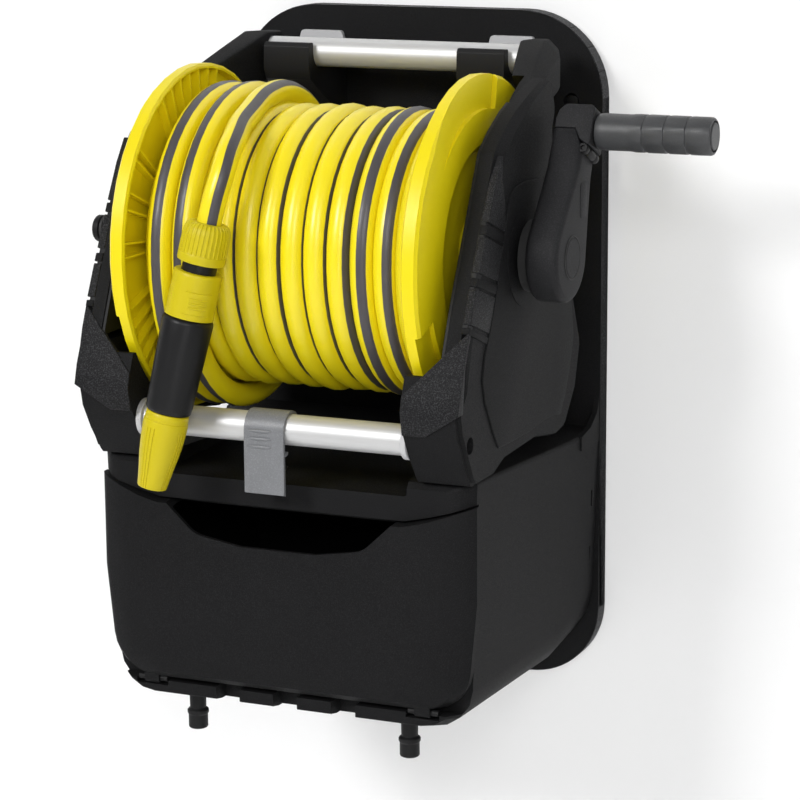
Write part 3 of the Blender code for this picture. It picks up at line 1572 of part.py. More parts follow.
def build():
    station_housing()
    wall_screws()
    hooks()
    park_spigots()
    storage_door()
    door_pins()
    for right_piece in (side_frame(), frame_cover(), bearing(), tube_screw(), flange()):
        bpy.context.view_layer.update()
        mirrored(right_piece.name.replace("right", "left"), right_piece)
    tubes()
    inlet_spigot()
    barrel()
    shaft()
    hose_elbow()
    crank_arm()
    crank_fixings()
    handle_block()
    grip_parts()
    hose_clip()
    hose_winding()
    hose_tail()
    connector_nut()
    connector_body()
    connector_sleeve()
    nozzle_body()
    nozzle_tip()


build()
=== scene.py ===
"""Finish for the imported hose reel: hose, fittings, crank, mouldings, materials and stage."""

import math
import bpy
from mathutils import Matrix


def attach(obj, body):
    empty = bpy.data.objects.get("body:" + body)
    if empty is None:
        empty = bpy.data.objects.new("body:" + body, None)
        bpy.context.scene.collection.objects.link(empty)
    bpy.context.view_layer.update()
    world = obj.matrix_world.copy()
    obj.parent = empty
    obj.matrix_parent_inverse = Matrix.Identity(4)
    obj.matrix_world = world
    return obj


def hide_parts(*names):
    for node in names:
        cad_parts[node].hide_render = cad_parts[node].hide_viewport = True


bl_info = {
    "name": "Hose Reel Finish",
    "version": (1, 0, 0),
    "blender": (4, 5, 0),
    "location": "3D View > Sidebar > Hose Reel",
    "description": "Dresses the packed wall hose reel with its hose, fittings and materials",
    "category": "Object",
}

import bpy
from mathutils import Matrix, Vector

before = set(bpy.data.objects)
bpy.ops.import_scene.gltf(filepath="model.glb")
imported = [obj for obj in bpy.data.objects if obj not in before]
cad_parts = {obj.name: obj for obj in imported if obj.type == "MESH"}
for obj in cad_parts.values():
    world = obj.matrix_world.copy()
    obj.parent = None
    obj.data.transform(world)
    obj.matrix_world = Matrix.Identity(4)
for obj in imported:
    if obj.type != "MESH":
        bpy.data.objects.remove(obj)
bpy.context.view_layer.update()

# Sizes that the part's source fixes, in metres

AXIS = Vector((0.00325, -0.1816, 0))
TAIL_LANE = -0.0502
TAIL_R = 0.1100
NOZZLE_TOP = AXIS + Vector((-0.0394, -0.1258, 0.0315))
NOZZLE_END = AXIS + Vector((-0.0813, -0.1429, -0.1604))
NOZZLE_FACING = Vector((0.39, -0.92, 0.10))
ARM_LEAN = math.radians(25.3)
GRIP_AT = 0.0955


# Settings that a user would change

class HoseReelSizes(bpy.types.PropertyGroup):
    """Sizes of the pieces that this script makes."""

    hose_diameter: bpy.props.FloatProperty(
        name="Hose Diameter", description="Outside diameter of the hose",
        default=0.0177, min=0.015, max=0.018, subtype="DISTANCE", unit="LENGTH",
    )
    stripe_share: bpy.props.FloatProperty(
        name="Stripe Share", description="Share of the hose's girth that its stripe takes",
        default=0.135, min=0.0, max=0.4, subtype="FACTOR",
    )
    edge_radius: bpy.props.FloatProperty(
        name="Edge Radius", description="Rounding of edges with no radius of their own",
        default=0.0004, min=0.0001, max=0.002, subtype="DISTANCE", unit="LENGTH",
    )
    grain_size: bpy.props.FloatProperty(
        name="Grain Size", description="Distance between the bumps of the coarse moulded grain",
        default=0.0009, min=0.0003, max=0.004, subtype="DISTANCE", unit="LENGTH",
    )


COLOUR = {"min": 0, "max": 1, "size": 3, "subtype": "COLOR"}


class HoseReelColours(bpy.types.PropertyGroup):
    """Colours of the finishes, as linear values."""

    black: bpy.props.FloatVectorProperty(
        name="Black Plastic", description="Colour of the black mouldings",
        default=(0.0062, 0.0062, 0.0066), **COLOUR,
    )
    yellow: bpy.props.FloatVectorProperty(
        name="Yellow Plastic", description="Colour of the flanges, connector and tip",
        default=(0.78, 0.64, 0.004), **COLOUR,
    )
    hose: bpy.props.FloatVectorProperty(
        name="Hose", description="Colour of the hose",
        default=(0.82, 0.68, 0.007), **COLOUR,
    )
    stripe: bpy.props.FloatVectorProperty(
        name="Hose Stripe", description="Colour of the stripe along the hose",
        default=(0.055, 0.050, 0.055), **COLOUR,
    )
    grey: bpy.props.FloatVectorProperty(
        name="Grey Plastic", description="Colour of the grip, bearings and clip",
        default=(0.037, 0.038, 0.040), **COLOUR,
    )


def sizes():
    return bpy.context.scene.hose_reel_sizes


def colours():
    return bpy.context.scene.hose_reel_colours


# Shader maths

NOISE_MIDDLE = (0.3, 0.7)


class Signal:
    """A shader socket that takes part in Python arithmetic by adding Math nodes."""

    def __init__(self, surface, socket):
        self.surface = surface
        self.socket = socket

    def _maths(self, operation, first, second):
        return self.surface.node("ShaderNodeMath", {"operation": operation}, {0: first, 1: second})

    def __add__(self, other):
        return self._maths("ADD", self, other)

    def __sub__(self, other):
        return self._maths("SUBTRACT", self, other)

    def __mul__(self, other):
        return self._maths("MULTIPLY", self, other)

    def __abs__(self):
        return self._maths("ABSOLUTE", self, 0.0)


class Surface:
    """A node material that is built up by method calls."""

    def __init__(self, name):
        self.material = bpy.data.materials.new(name)
        self.material.use_nodes = True
        self.tree = self.material.node_tree
        self.tree.nodes.clear()
        self.out = self.tree.nodes.new("ShaderNodeOutputMaterial")
        self.shader = self.tree.nodes.new("ShaderNodeBsdfPrincipled")
        self.tree.links.new(self.shader.outputs[0], self.out.inputs["Surface"])

    def node(self, kind, settings=None, inputs=None, output=0):
        """Adds a node, sets its settings first, then its sockets' values or links."""
        made = self.tree.nodes.new(kind)
        for key, value in (settings or {}).items():
            setattr(made, key, value)
        for key, value in (inputs or {}).items():
            self.put(made.inputs[key], value)
        return Signal(self, made.outputs[output])

    def put(self, socket, value):
        if isinstance(value, Signal):
            self.tree.links.new(value.socket, socket)
        elif socket.type == "RGBA":
            socket.default_value = (*value[:3], 1)
        else:
            socket.default_value = value

    def set(self, **values):
        """Sets the shader's sockets: base_color, roughness and so on."""
        for key, value in values.items():
            name = key.replace("_", " ").title().replace("Ior", "IOR")
            self.put(self.shader.inputs[name], value)

    def noise(self, size, detail=3.0, rough=0.5, stretch=None):
        """Noise whose features are about size metres across."""
        where = self.node("ShaderNodeTexCoord", output="Object")
        if stretch:
            where = self.node("ShaderNodeMapping", {}, {"Vector": where, "Scale": stretch})
        inputs = {"Vector": where, "Scale": 1 / size, "Detail": detail, "Roughness": rough}
        return self.node("ShaderNodeTexNoise", {}, inputs)

    def ramp(self, value, low, high, start=0.0, end=1.0):
        """A value mapped from low..high to start..end, and held there outside."""
        inputs = {"From Min": low, "From Max": high, "To Min": start, "To Max": end}
        return self.node("ShaderNodeMapRange", {"clamp": True}, {"Value": value, **inputs})

    def mix(self, factor, first, second):
        """A mix of two colours; the Mix node's colour sockets share their names with others."""
        inputs = {0: factor, 6: first, 7: second}
        return self.node("ShaderNodeMix", {"data_type": "RGBA"}, inputs, output=2)

    def sheen(self, value, low, high):
        """Roughness that goes from low to high over the middle of a noise."""
        self.set(roughness=self.ramp(value, *NOISE_MIDDLE, low, high))

    def bump(self, height, distance, strength=1.0):
        inputs = {"Height": height, "Distance": distance, "Strength": strength}
        self.set(normal=self.node("ShaderNodeBump", {}, inputs))


def scaled(colour, factor):
    return tuple(c * factor for c in colour)


def grained_black(name, grain, depth, rough, shade=1.0, painted_glint=2.6):
    """Black moulding with a spark-eroded grain, whose lighter specks in the colour are painted
    glints.
    """
    surface = Surface(name)
    base = scaled(colours().black, shade)
    cloud = surface.noise(0.05, 2.0)
    speck = surface.noise(grain, 2.0, 0.6)
    lit = surface.ramp(speck, 0.50, 0.66)
    tone = surface.mix(cloud, scaled(base, 0.85), scaled(base, 1.20))
    # Lighter specks in the base colour: painted glints that stand in for the grain's highlights;
    # the grain's bump and roughness are real.
    surface.set(base_color=surface.mix(lit * 0.8, tone, scaled(base, painted_glint)))
    surface.sheen(speck, rough + 0.08, rough - 0.10)
    surface.set(specular_ior_level=0.11)
    surface.bump(speck, depth, 0.9)
    return surface.material


def plain_black(name, rough, shade=1.0):
    """Black moulding with a fine satin surface."""
    surface = Surface(name)
    base = scaled(colours().black, shade)
    cloud = surface.noise(0.06)
    fine = surface.noise(0.0005, 2.0)
    surface.set(base_color=surface.mix(cloud, scaled(base, 0.85), scaled(base, 1.25)))
    surface.sheen(fine, rough - 0.05, rough + 0.07)
    surface.set(specular_ior_level=0.22)
    surface.bump(fine, 0.00006, 0.6)
    return surface.material


def yellow_moulding(name, rough=0.38, shade=1.0):
    """Yellow moulding, satin, with the faint flow marks of a large part."""
    surface = Surface(name)
    base = scaled(colours().yellow, shade)
    cloud = surface.noise(0.03)
    fine = surface.noise(0.0007, 2.0)
    surface.set(base_color=surface.mix(cloud, scaled(base, 0.94), base))
    surface.sheen(fine, rough - 0.06, rough + 0.08)
    surface.set(subsurface_weight=0.05, subsurface_radius=(0.004, 0.003, 0.0005))
    surface.set(subsurface_scale=1.0, specular_ior_level=0.30)
    surface.bump(fine, 0.00004, 0.5)
    return surface.material


def grey_moulding(name, rough=0.45, shade=1.0):
    """Grey moulding with fine lighter specks."""
    surface = Surface(name)
    base = scaled(colours().grey, shade)
    cloud = surface.noise(0.02)
    fine = surface.noise(0.0008, 3.0, 0.6)
    lit = surface.ramp(fine, 0.50, 0.70)
    tone = surface.mix(cloud, scaled(base, 0.88), scaled(base, 1.15))
    surface.set(base_color=surface.mix(lit * 0.5, tone, scaled(base, 1.7)))
    surface.sheen(fine, rough + 0.08, rough - 0.06)
    surface.bump(fine, 0.00010, 0.7)
    return surface.material


def pale_moulding(name):
    surface = Surface(name)
    fine = surface.noise(0.0008, 2.0)
    base = (0.50, 0.50, 0.51)
    surface.set(base_color=surface.mix(surface.noise(0.02), scaled(base, 0.9), base))
    surface.sheen(fine, 0.40, 0.52)
    surface.bump(fine, 0.00005, 0.6)
    return surface.material


def satin_metal(name):
    """Anodised tube, drawn along its length."""
    surface = Surface(name)
    line = surface.noise(0.0006, 4.0, 0.6, stretch=(0.02, 1, 1))
    tone = surface.mix(line, (0.52, 0.52, 0.52), (0.64, 0.64, 0.64))
    surface.set(base_color=tone, metallic=0.55)
    surface.sheen(line, 0.42, 0.54)
    surface.bump(line, 0.00003, 0.5)
    return surface.material


def zinc_steel(name):
    surface = Surface(name)
    patch = surface.noise(0.004)
    surface.set(base_color=surface.mix(patch, (0.35, 0.35, 0.36), (0.55, 0.55, 0.56)))
    surface.set(metallic=1.0)
    surface.sheen(patch, 0.30, 0.45)
    surface.bump(surface.noise(0.0006), 0.00002, 0.5)
    return surface.material


def seal_rubber(name):
    surface = Surface(name)
    fine = surface.noise(0.0006)
    surface.set(base_color=surface.mix(fine, (0.012, 0.012, 0.012), (0.022, 0.022, 0.022)))
    surface.sheen(fine, 0.6, 0.75)
    surface.bump(fine, 0.00004, 0.6)
    return surface.material


def hose_skin(name):
    """Glossy hose with a dark stripe along it, placed by the hose's own UV map."""
    surface = Surface(name)
    blur = 0.004
    uv = surface.node("ShaderNodeUVMap", {"uv_map": "hose_map"})
    around = surface.node("ShaderNodeSeparateXYZ", {}, {0: uv}, output="Y")
    edge = surface.noise(0.004, 2.0) - 0.5
    half = sizes().stripe_share / 2
    away = abs(around - 0.5) + edge * blur
    stripe = surface.ramp(away, half - blur, half + blur, 1.0, 0.0)
    cloud = surface.noise(0.02)
    yellow = surface.mix(cloud, scaled(colours().hose, 0.95), colours().hose)
    dark = surface.mix(cloud, scaled(colours().stripe, 0.8), scaled(colours().stripe, 1.2))
    surface.set(base_color=surface.mix(stripe, yellow, dark))
    smear = surface.noise(0.006)
    surface.set(roughness=surface.ramp(smear, *NOISE_MIDDLE, 0.30, 0.38) + stripe * 0.10)
    surface.set(coat_weight=0.10, coat_roughness=0.20, subsurface_scale=1.0)
    surface.set(subsurface_weight=0.06, subsurface_radius=(0.004, 0.003, 0.0005))
    surface.bump(surface.noise(0.0025, 2.0), 0.00005, 0.4)
    return surface.material


MADE = {}


def finish_of(name):
    """The named finish, made once."""
    coarse = sizes().grain_size
    makers = {
        # The last number of a grained black finish sets how light its painted glints are.
        "black_grain": (grained_black, coarse, 0.00030, 0.56, 1.5, 5),
        # A lighter copy of the grained black with stronger specks: painted highlight on the back
        # plate's edge band.
        "edge_grain_painted_highlight": (grained_black, coarse, 0.00030, 0.50, 2.4, 6),
        "black_fine": (grained_black, 0.0006, 0.00010, 0.66),
        "arm_black": (grained_black, 0.0007, 0.00014, 0.58, 2.6, 2),
        "black_satin": (plain_black, 0.52),
        "nozzle_black": (plain_black, 0.38, 1.3),
        "yellow_plastic": (yellow_moulding,),
        # A darker copy of the yellow plastic: painted shade on the connector, sleeve and tip.
        "fitting_yellow": (yellow_moulding, 0.42, 0.70),
        "grey_plastic": (grey_moulding,),
        "clip_grey": (grey_moulding, 0.42, 4.1),
        "pale_plastic": (pale_moulding,),
        "aluminium": (satin_metal,),
        "steel": (zinc_steel,),
        "black_rubber": (seal_rubber,),
        "hose": (hose_skin,),
    }
    if name not in MADE:
        maker, *settings = makers[name]
        MADE[name] = maker(name, *settings)
    return MADE[name]


# Modelling helpers

def deselect():
    """Leaves edit mode, with nothing selected."""
    active = bpy.context.view_layer.objects.active
    if active and active.mode != "OBJECT":
        bpy.ops.object.mode_set(mode="OBJECT")
    bpy.ops.object.select_all(action="DESELECT")


def add(name, operator, **settings):
    """Adds an object with nothing else selected, and names it."""
    deselect()
    operator(**settings)
    made = bpy.context.object
    made.name = name
    return made


def activate(piece):
    deselect()
    piece.select_set(True)
    bpy.context.view_layer.objects.active = piece
    return piece


def edit(piece, mode="FACE"):
    activate(piece)
    bpy.ops.object.mode_set(mode="EDIT")
    bpy.ops.mesh.select_mode(type=mode)
    bpy.ops.mesh.select_all(action="DESELECT")


def select_all():
    bpy.ops.mesh.select_all(action="SELECT")


def face_outwards():
    """Turns all faces of the mesh in edit mode outwards, and leaves edit mode."""
    select_all()
    bpy.ops.mesh.normals_make_consistent(inside=False)
    deselect()


def pick_faces(piece, test):
    """Selects, in edit mode, the faces whose centre and normal pass the test."""
    edit(piece)
    bpy.ops.object.mode_set(mode="OBJECT")
    for face in piece.data.polygons:
        face.select = bool(test(face.center, face.normal))
    bpy.ops.object.mode_set(mode="EDIT")


def raise_faces(piece, test, height):
    """Extrudes the faces that pass the test along their normals."""
    pick_faces(piece, test)
    move = {"value": height}
    bpy.ops.mesh.extrude_region_shrink_fatten(TRANSFORM_OT_shrink_fatten=move)


def settle(piece, matrix=None):
    """Puts a piece where it belongs, with its place in its mesh."""
    activate(piece)
    if matrix is not None:
        piece.matrix_world = matrix @ piece.matrix_world
    bpy.ops.object.transform_apply(location=True, rotation=True, scale=True)
    return piece


def add_modifier(piece, kind, **settings):
    made = piece.modifiers.new(kind.lower(), kind)
    for key, value in settings.items():
        setattr(made, key, value)
    return made


def smooth(piece, degrees=32):
    activate(piece)
    bpy.ops.object.shade_smooth_by_angle(angle=math.radians(degrees))
    return piece


SAME_POINT = 1e-6
Z_TO_X = Matrix.Rotation(math.pi / 2, 4, "Y")


def ring_stack(name, profile, segments=64):
    """A round piece about Z: a ring, extruded and resized along its (height, radius) profile."""
    height, radius = profile[0]
    piece = add(name, bpy.ops.mesh.primitive_circle_add, vertices=segments, radius=radius,
                location=(0, 0, height))
    edit(settle(piece), "VERT")
    select_all()
    for next_height, next_radius in profile[1:]:
        step = {"value": (0, 0, next_height - height)}
        bpy.ops.mesh.extrude_region_move(TRANSFORM_OT_translate=step)
        factor = next_radius / radius
        centre = (0, 0, next_height)
        bpy.ops.transform.resize(value=(factor, factor, 1), center_override=centre)
        height, radius = next_height, next_radius
    select_all()
    bpy.ops.mesh.remove_doubles(threshold=SAME_POINT)
    face_outwards()
    return piece


def traced_plate(name, outline, low, high):
    """An outline of (y, z) points, traced by extruding a vertex, filled and made thick in X."""
    piece = add(name, bpy.ops.mesh.primitive_circle_add, vertices=3, radius=0.0001,
                location=(low, *outline[0]))
    edit(settle(piece), "VERT")
    select_all()
    bpy.ops.mesh.merge(type="CENTER")
    for (y_from, z_from), (y_to, z_to) in zip(outline, outline[1:]):
        step = {"value": (0, y_to - y_from, z_to - z_from)}
        bpy.ops.mesh.extrude_vertices_move(TRANSFORM_OT_translate=step)
    select_all()
    bpy.ops.mesh.edge_face_add()
    bpy.ops.mesh.select_mode(type="FACE")
    select_all()
    step = {"value": (high - low, 0, 0)}
    bpy.ops.mesh.extrude_region_move(TRANSFORM_OT_translate=step)
    face_outwards()
    if len(piece.data.polygons) != len(outline) + 2:
        raise RuntimeError(name + " was not filled")
    return piece


def slice_off(piece, place, outwards):
    """Cuts away what lies outside a plane, and closes the cut."""
    edit(piece)
    select_all()
    bpy.ops.mesh.bisect(plane_co=place, plane_no=outwards, use_fill=True, clear_outer=True)
    deselect()
    return piece


def rounded_edges(piece, width, segments=3, degrees=30, shading=40):
    """Bevels the edges that turn by more than an angle, and shades the piece."""
    activate(piece)
    made = add_modifier(piece, "BEVEL", width=width, segments=segments, limit_method="ANGLE",
                        angle_limit=math.radians(degrees))
    bpy.ops.object.modifier_apply(modifier=made.name)
    return smooth(piece, shading)


def dress(piece, body, finish, slot, *nodes):
    """Gives a piece its finish and its body, and hides the CAD nodes that it stands for."""
    piece.data.materials.clear()
    piece.data.materials.append(finish_of(finish))
    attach(piece, body)
    if nodes:
        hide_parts(*nodes)
    return piece


def fit(piece, place, *dressing):
    """Puts a piece in its place and dresses it."""
    return dress(settle(piece, place), *dressing)


# Hose

FRONT_LANE = 0.09975
LANES = 12
LANE_PITCH = 0.01795
LAYER_RADII = (0.0777, 0.0940, 0.1084)
LAYER_SAG = (0.0, 0.0050, 0.0100)
SAG_POWER = 1.5
NEST_PITCH = LANE_PITCH - 0.0007
NEST_SHIFT = 0.0095 - LANE_PITCH / 2
NEST_STRIPE = 120
FRONT_SQUEEZE = 0.0009
STRIPES = (112, 29, 17, 62, 84, 92, 80, 96, 88, 100, 90, 70)
TOP_TURNS = ((-0.08855, 3), (-0.06915, -11))
WEAVE = 0.00055
SLACK = 0.0005
FINE_SLACK = 0.0004
TURN_POINTS = 48
HOSE_SIDES = 20
BOTTOM = 270
CROSS_START = 250
CROSS_END = 160
TAIL_FROM = 182
TAIL_STEPS = 10
TAIL_STEP = 10
TAIL_DRIFT = 0.0040
TAIL_STRIPE = 30
TAIL_STRIPE_GAIN = 12
HOSE_IN_NUT = 0.0180
TAIL_BEND = (
    (-0.0452, -0.0300, 0.1066), (-0.0428, -0.0500, 0.1010), (-0.0399, -0.0715, 0.0950),
    (-0.0350, -0.0915, 0.0880), (-0.0328, -0.1080, 0.0775), (-0.0323, -0.1190, 0.0640),
    (-0.0354, -0.1242, 0.0485),
)


def lanes():
    """(across, radius, sag below, stripe's turn from straight out) of each turn, in order."""
    first, second, third = zip(LAYER_RADII, LAYER_SAG)
    inmost = FRONT_LANE - (LANES - 1) * LANE_PITCH + NEST_SHIFT
    made = [(inmost + i * NEST_PITCH, *first, NEST_STRIPE) for i in range(LANES)]
    for i, stripe in enumerate(STRIPES):
        squeeze = 0.0 if i else FRONT_SQUEEZE
        made.append((FRONT_LANE - squeeze - i * LANE_PITCH, *second, stripe))
    for across, stripe in TOP_TURNS:
        made.append((across, *third, stripe))
    made.append((TAIL_LANE, TAIL_R, LAYER_SAG[2], TAIL_STRIPE))
    return made


def ease(share):
    share = min(1.0, max(0.0, share))
    return share * share * (3 - 2 * share)


def winding_route():
    """Centres along the wound hose, with the straight-out direction and the stripe's turn."""
    course = lanes()
    rows = []
    for k in range(len(course) - 1):
        start = 0 if k else TURN_POINTS // 2
        for i in range(start, TURN_POINTS):
            rows.append(winding_point(course, k, BOTTOM - 360 * i / TURN_POINTS))
    course.append(course[-1])
    end_steps = round(TURN_POINTS * (BOTTOM - TAIL_FROM) / 360)
    for i in range(end_steps):
        angle = BOTTOM - (BOTTOM - TAIL_FROM) * i / end_steps
        rows.append(winding_point(course, len(course) - 2, angle))
    rows.append(tail_rows()[0])
    return rows


def winding_point(course, k, angle):
    """One point of turn k at an angle, where 0 is the front, 90 the top and 270 the bottom."""
    before = course[k - 1] if k else course[0]
    share = ease((CROSS_START - angle) / (CROSS_START - CROSS_END))
    across, radius, sag, stripe = (a + (b - a) * share for a, b in zip(before, course[k]))
    turn = math.radians(angle)
    radius += sag * max(0.0, -math.sin(turn)) ** SAG_POWER
    if 0 < k < len(course) - 2:
        slack = SLACK * math.sin(k * 2.3) + FINE_SLACK * math.sin(k * 1.7 + turn * 2)
        weave = WEAVE * math.sin(turn)
        across += slack / 2 + (weave if k < LANES else -weave)
        radius += slack
    out = Vector((0, -math.cos(turn), math.sin(turn)))
    return AXIS + Vector((across, 0, 0)) + out * radius, out, stripe


def tail_rows():
    """The hose's free end: over the drum's top and down to the connector."""
    route = []
    for i in range(TAIL_STEPS + 1):
        angle = math.radians(TAIL_FROM - TAIL_STEP * i)
        drift = TAIL_LANE + TAIL_DRIFT * (i / TAIL_STEPS) ** 2
        route.append(AXIS + Vector((drift, -TAIL_R * math.cos(angle), TAIL_R * math.sin(angle))))
    route += [AXIS + Vector(place) for place in TAIL_BEND]
    down = (NOZZLE_END - NOZZLE_TOP).normalized()
    route += [NOZZLE_TOP, NOZZLE_TOP + down * HOSE_IN_NUT]
    route = [2 * route[0] - route[1]] + route + [2 * route[-1] - route[-2]]
    fine = []
    for a, b, c, d in zip(route, route[1:], route[2:], route[3:]):
        for t in (0, 0.25, 0.5, 0.75):
            square = (2 * a - 5 * b + 4 * c - d) * t**2
            cube = (3 * b - a - 3 * c + d) * t**3
            fine.append(0.5 * (2 * b + (c - a) * t + square + cube))
    fine.append(route[-2])
    rows = []
    for i, point in enumerate(fine):
        flat = point - AXIS
        out = Vector((0, flat.y, flat.z)).normalized()
        stripe = TAIL_STRIPE + TAIL_STRIPE_GAIN * ease(i / len(fine))
        rows.append((point, out, stripe))
    return rows


def hose_tube(name, rows, radius):
    """A tube round a route, with a UV map whose V is 0.5 along the stripe's middle."""
    points = [row[0] for row in rows]
    verts, faces = [], []
    lengths = [0.0]
    for a, b in zip(points, points[1:]):
        lengths.append(lengths[-1] + (b - a).length)
    for i, (point, out, stripe) in enumerate(rows):
        along = (points[min(i + 1, len(points) - 1)] - points[max(i - 1, 0)]).normalized()
        up = (out - along * out.dot(along)).normalized()
        side = Vector((1, 0, 0))
        side = (side - along * side.dot(along) - up * side.dot(up)).normalized()
        for j in range(HOSE_SIDES):
            turn = math.radians(stripe) + math.pi + 2 * math.pi * j / HOSE_SIDES
            verts.append(point + (up * math.cos(turn) + side * math.sin(turn)) * radius)
    count = len(rows)
    for i in range(count - 1):
        for j in range(HOSE_SIDES):
            k = (j + 1) % HOSE_SIDES
            a, b = i * HOSE_SIDES, (i + 1) * HOSE_SIDES
            faces.append((a + j, a + k, b + k, b + j))
    faces.append(tuple(range(HOSE_SIDES))[::-1])
    faces.append(tuple(range((count - 1) * HOSE_SIDES, count * HOSE_SIDES)))
    mesh = bpy.data.meshes.new(name)
    mesh.from_pydata(verts, [], faces)
    layer = mesh.uv_layers.new(name="hose_map")
    for n, face in enumerate(mesh.polygons):
        for m, loop in enumerate(face.loop_indices):
            if n >= (count - 1) * HOSE_SIDES:
                layer.data[loop].uv = (0, 0)
                continue
            i, j = divmod(n, HOSE_SIDES)
            i += m in (2, 3)
            j += m in (1, 2)
            layer.data[loop].uv = (lengths[i], j / HOSE_SIDES)
    piece = bpy.data.objects.new(name, mesh)
    bpy.context.scene.collection.objects.link(piece)
    edit(piece)
    face_outwards()
    return smooth(piece, 60)


def length_of(path):
    return sum((b - a).length for a, b in zip(path, path[1:]))


class HOSEREEL_OT_hose(bpy.types.Operator):
    """Winds the hose on the drum and lays its free end over the top"""

    bl_idname = "hosereel.hose"
    bl_label = "Hose"

    def execute(self, context):
        radius = sizes().hose_diameter / 2
        rows = winding_route()
        path = [row[0] for row in rows]
        winding = hose_tube("wound_hose", rows, radius)
        dress(winding, "drum", "hose", "hose", "hose_winding")
        round(length_of(path), 2)
        tail = hose_tube("hose_end", tail_rows(), radius)
        dress(tail, "reel_frame", "hose", "hose", "hose_tail")
        return {"FINISHED"}


# Connector and nozzle

# The fittings take a darker copy of the yellow: painted shade.
YELLOW = ("fitting_yellow", "yellow_plastic")
BLACK = ("nozzle_black", "black_plastic")
FINE_SIDES = 96
QUARTER = FINE_SIDES // 4
FLUTES = (5, 8, 11)
RIB_EVERY = 3
PAD_TURN = -17


def nozzle_place():
    """The nozzle's frame: Z down its length, and -Y towards the viewer."""
    down = (NOZZLE_END - NOZZLE_TOP).normalized()
    front = (NOZZLE_FACING - down * NOZZLE_FACING.dot(down)).normalized()
    right = (-front).cross(down).normalized()
    turn = Matrix((right, -front, down)).transposed().to_4x4()
    return Matrix.Translation(NOZZLE_TOP) @ turn


def column_of(angle):
    """The column of faces at an angle, on a piece with fine sides."""
    return round(math.degrees(angle) * FINE_SIDES / 360 - 0.5)


def connector_nut():
    hose = 0.0092
    profile = [
        (0.0004, hose), (0.0000, hose + 0.0006), (0.0000, 0.0112), (0.0006, 0.0130),
        (0.0020, 0.0146), (0.0042, 0.0158), (0.0068, 0.0165), (0.0100, 0.0168),
        (0.0180, 0.0169), (0.0225, 0.0169), (0.0228, 0.0173), (0.0276, 0.0173),
        (0.0288, 0.0170), (0.0291, 0.0160), (0.0291, 0.0128), (0.0215, 0.0128),
        (0.0215, hose), (0.0004, hose),
    ]
    piece = ring_stack("ribbed_nut", profile, FINE_SIDES)

    def rib(centre, normal):
        outside = math.hypot(centre.x, centre.y) > 0.0130
        on_side = 0.001 < centre.z < 0.0226 and normal.z < 0.6
        column = column_of(math.atan2(centre.y, centre.x))
        return outside and on_side and column % RIB_EVERY == 0

    raise_faces(piece, rib, 0.00055)
    rounded_edges(piece, 0.00025, 2, 40)
    return fit(piece, nozzle_place(), "reel_frame", *YELLOW, "connector_nut")


def connector_core():
    profile = [
        (0.0220, 0.0040), (0.0220, 0.0125), (0.0660, 0.0125), (0.0660, 0.0083),
        (0.0400, 0.0083), (0.0400, 0.0040), (0.0220, 0.0040),
    ]
    piece = ring_stack("connector_core", profile, 48)
    return fit(smooth(piece), nozzle_place(), "reel_frame", *BLACK, "connector_body")


def sleeve_patch(name, low, high, radius, half):
    """A raised patch on the sleeve, from low to high along it and half degrees to each side."""
    base, edge = 0.0166, 0.0004
    profile = [(low, base), (low, radius - edge), (low + edge, radius), (high - edge, radius),
               (high, radius - edge), (high, base), (low, base)]
    piece = ring_stack(name, profile, FINE_SIDES)
    for turned, sign in ((PAD_TURN - half, -1), (PAD_TURN + half, 1)):
        angle = math.radians(turned)
        slice_off(piece, (0, 0, 0), Vector((math.cos(angle), math.sin(angle), 0)) * sign)
    return fit(smooth(piece, 30), nozzle_place(), "release_sleeve", *YELLOW)


def thumb_pad():
    """The sleeve's thumb pad, with three ridges across it."""
    sleeve_patch("thumb_pad", 0.0484, 0.0645, 0.0182, 33)
    for i, level in enumerate((0.0524, 0.0556, 0.0588)):
        sleeve_patch("thumb_ridge_%d" % (i + 1), level, level + 0.0014, 0.0189, 21)


def release_sleeve():
    inner, low, high, rings = 0.0126, 0.0366, 0.0688, 16
    profile = [(0.0360, inner), (0.0360, 0.0166)]
    for k in range(rings + 1):
        profile.append((low + (high - low) * k / rings, 0.0174 + 0.0003 * k / rings))
    profile += [(0.0690, 0.0168), (0.0690, inner), (0.0360, inner)]
    piece = ring_stack("release_sleeve", profile, FINE_SIDES)
    return fit(smooth(piece, 55), nozzle_place(), "release_sleeve", *YELLOW, "connector_sleeve")


def nozzle_barrel():
    start = 0.0694
    profile = [
        (0.0450, 0.0040), (0.0450, 0.0080), (start, 0.0080), (start, 0.0160),
        (start + 0.0004, 0.0172), (start + 0.0016, 0.0182), (start + 0.0036, 0.0186),
        (0.0900, 0.0181), (0.1150, 0.0174), (0.1350, 0.0168), (0.1376, 0.0166),
        (0.1392, 0.0160), (0.1400, 0.0150), (0.1400, 0.0092), (0.1280, 0.0092),
        (0.1280, 0.0040), (0.0450, 0.0040),
    ]
    piece = ring_stack("nozzle_barrel", profile, 72)
    return fit(smooth(piece, 35), nozzle_place(), "reel_frame", *BLACK, "nozzle_body")


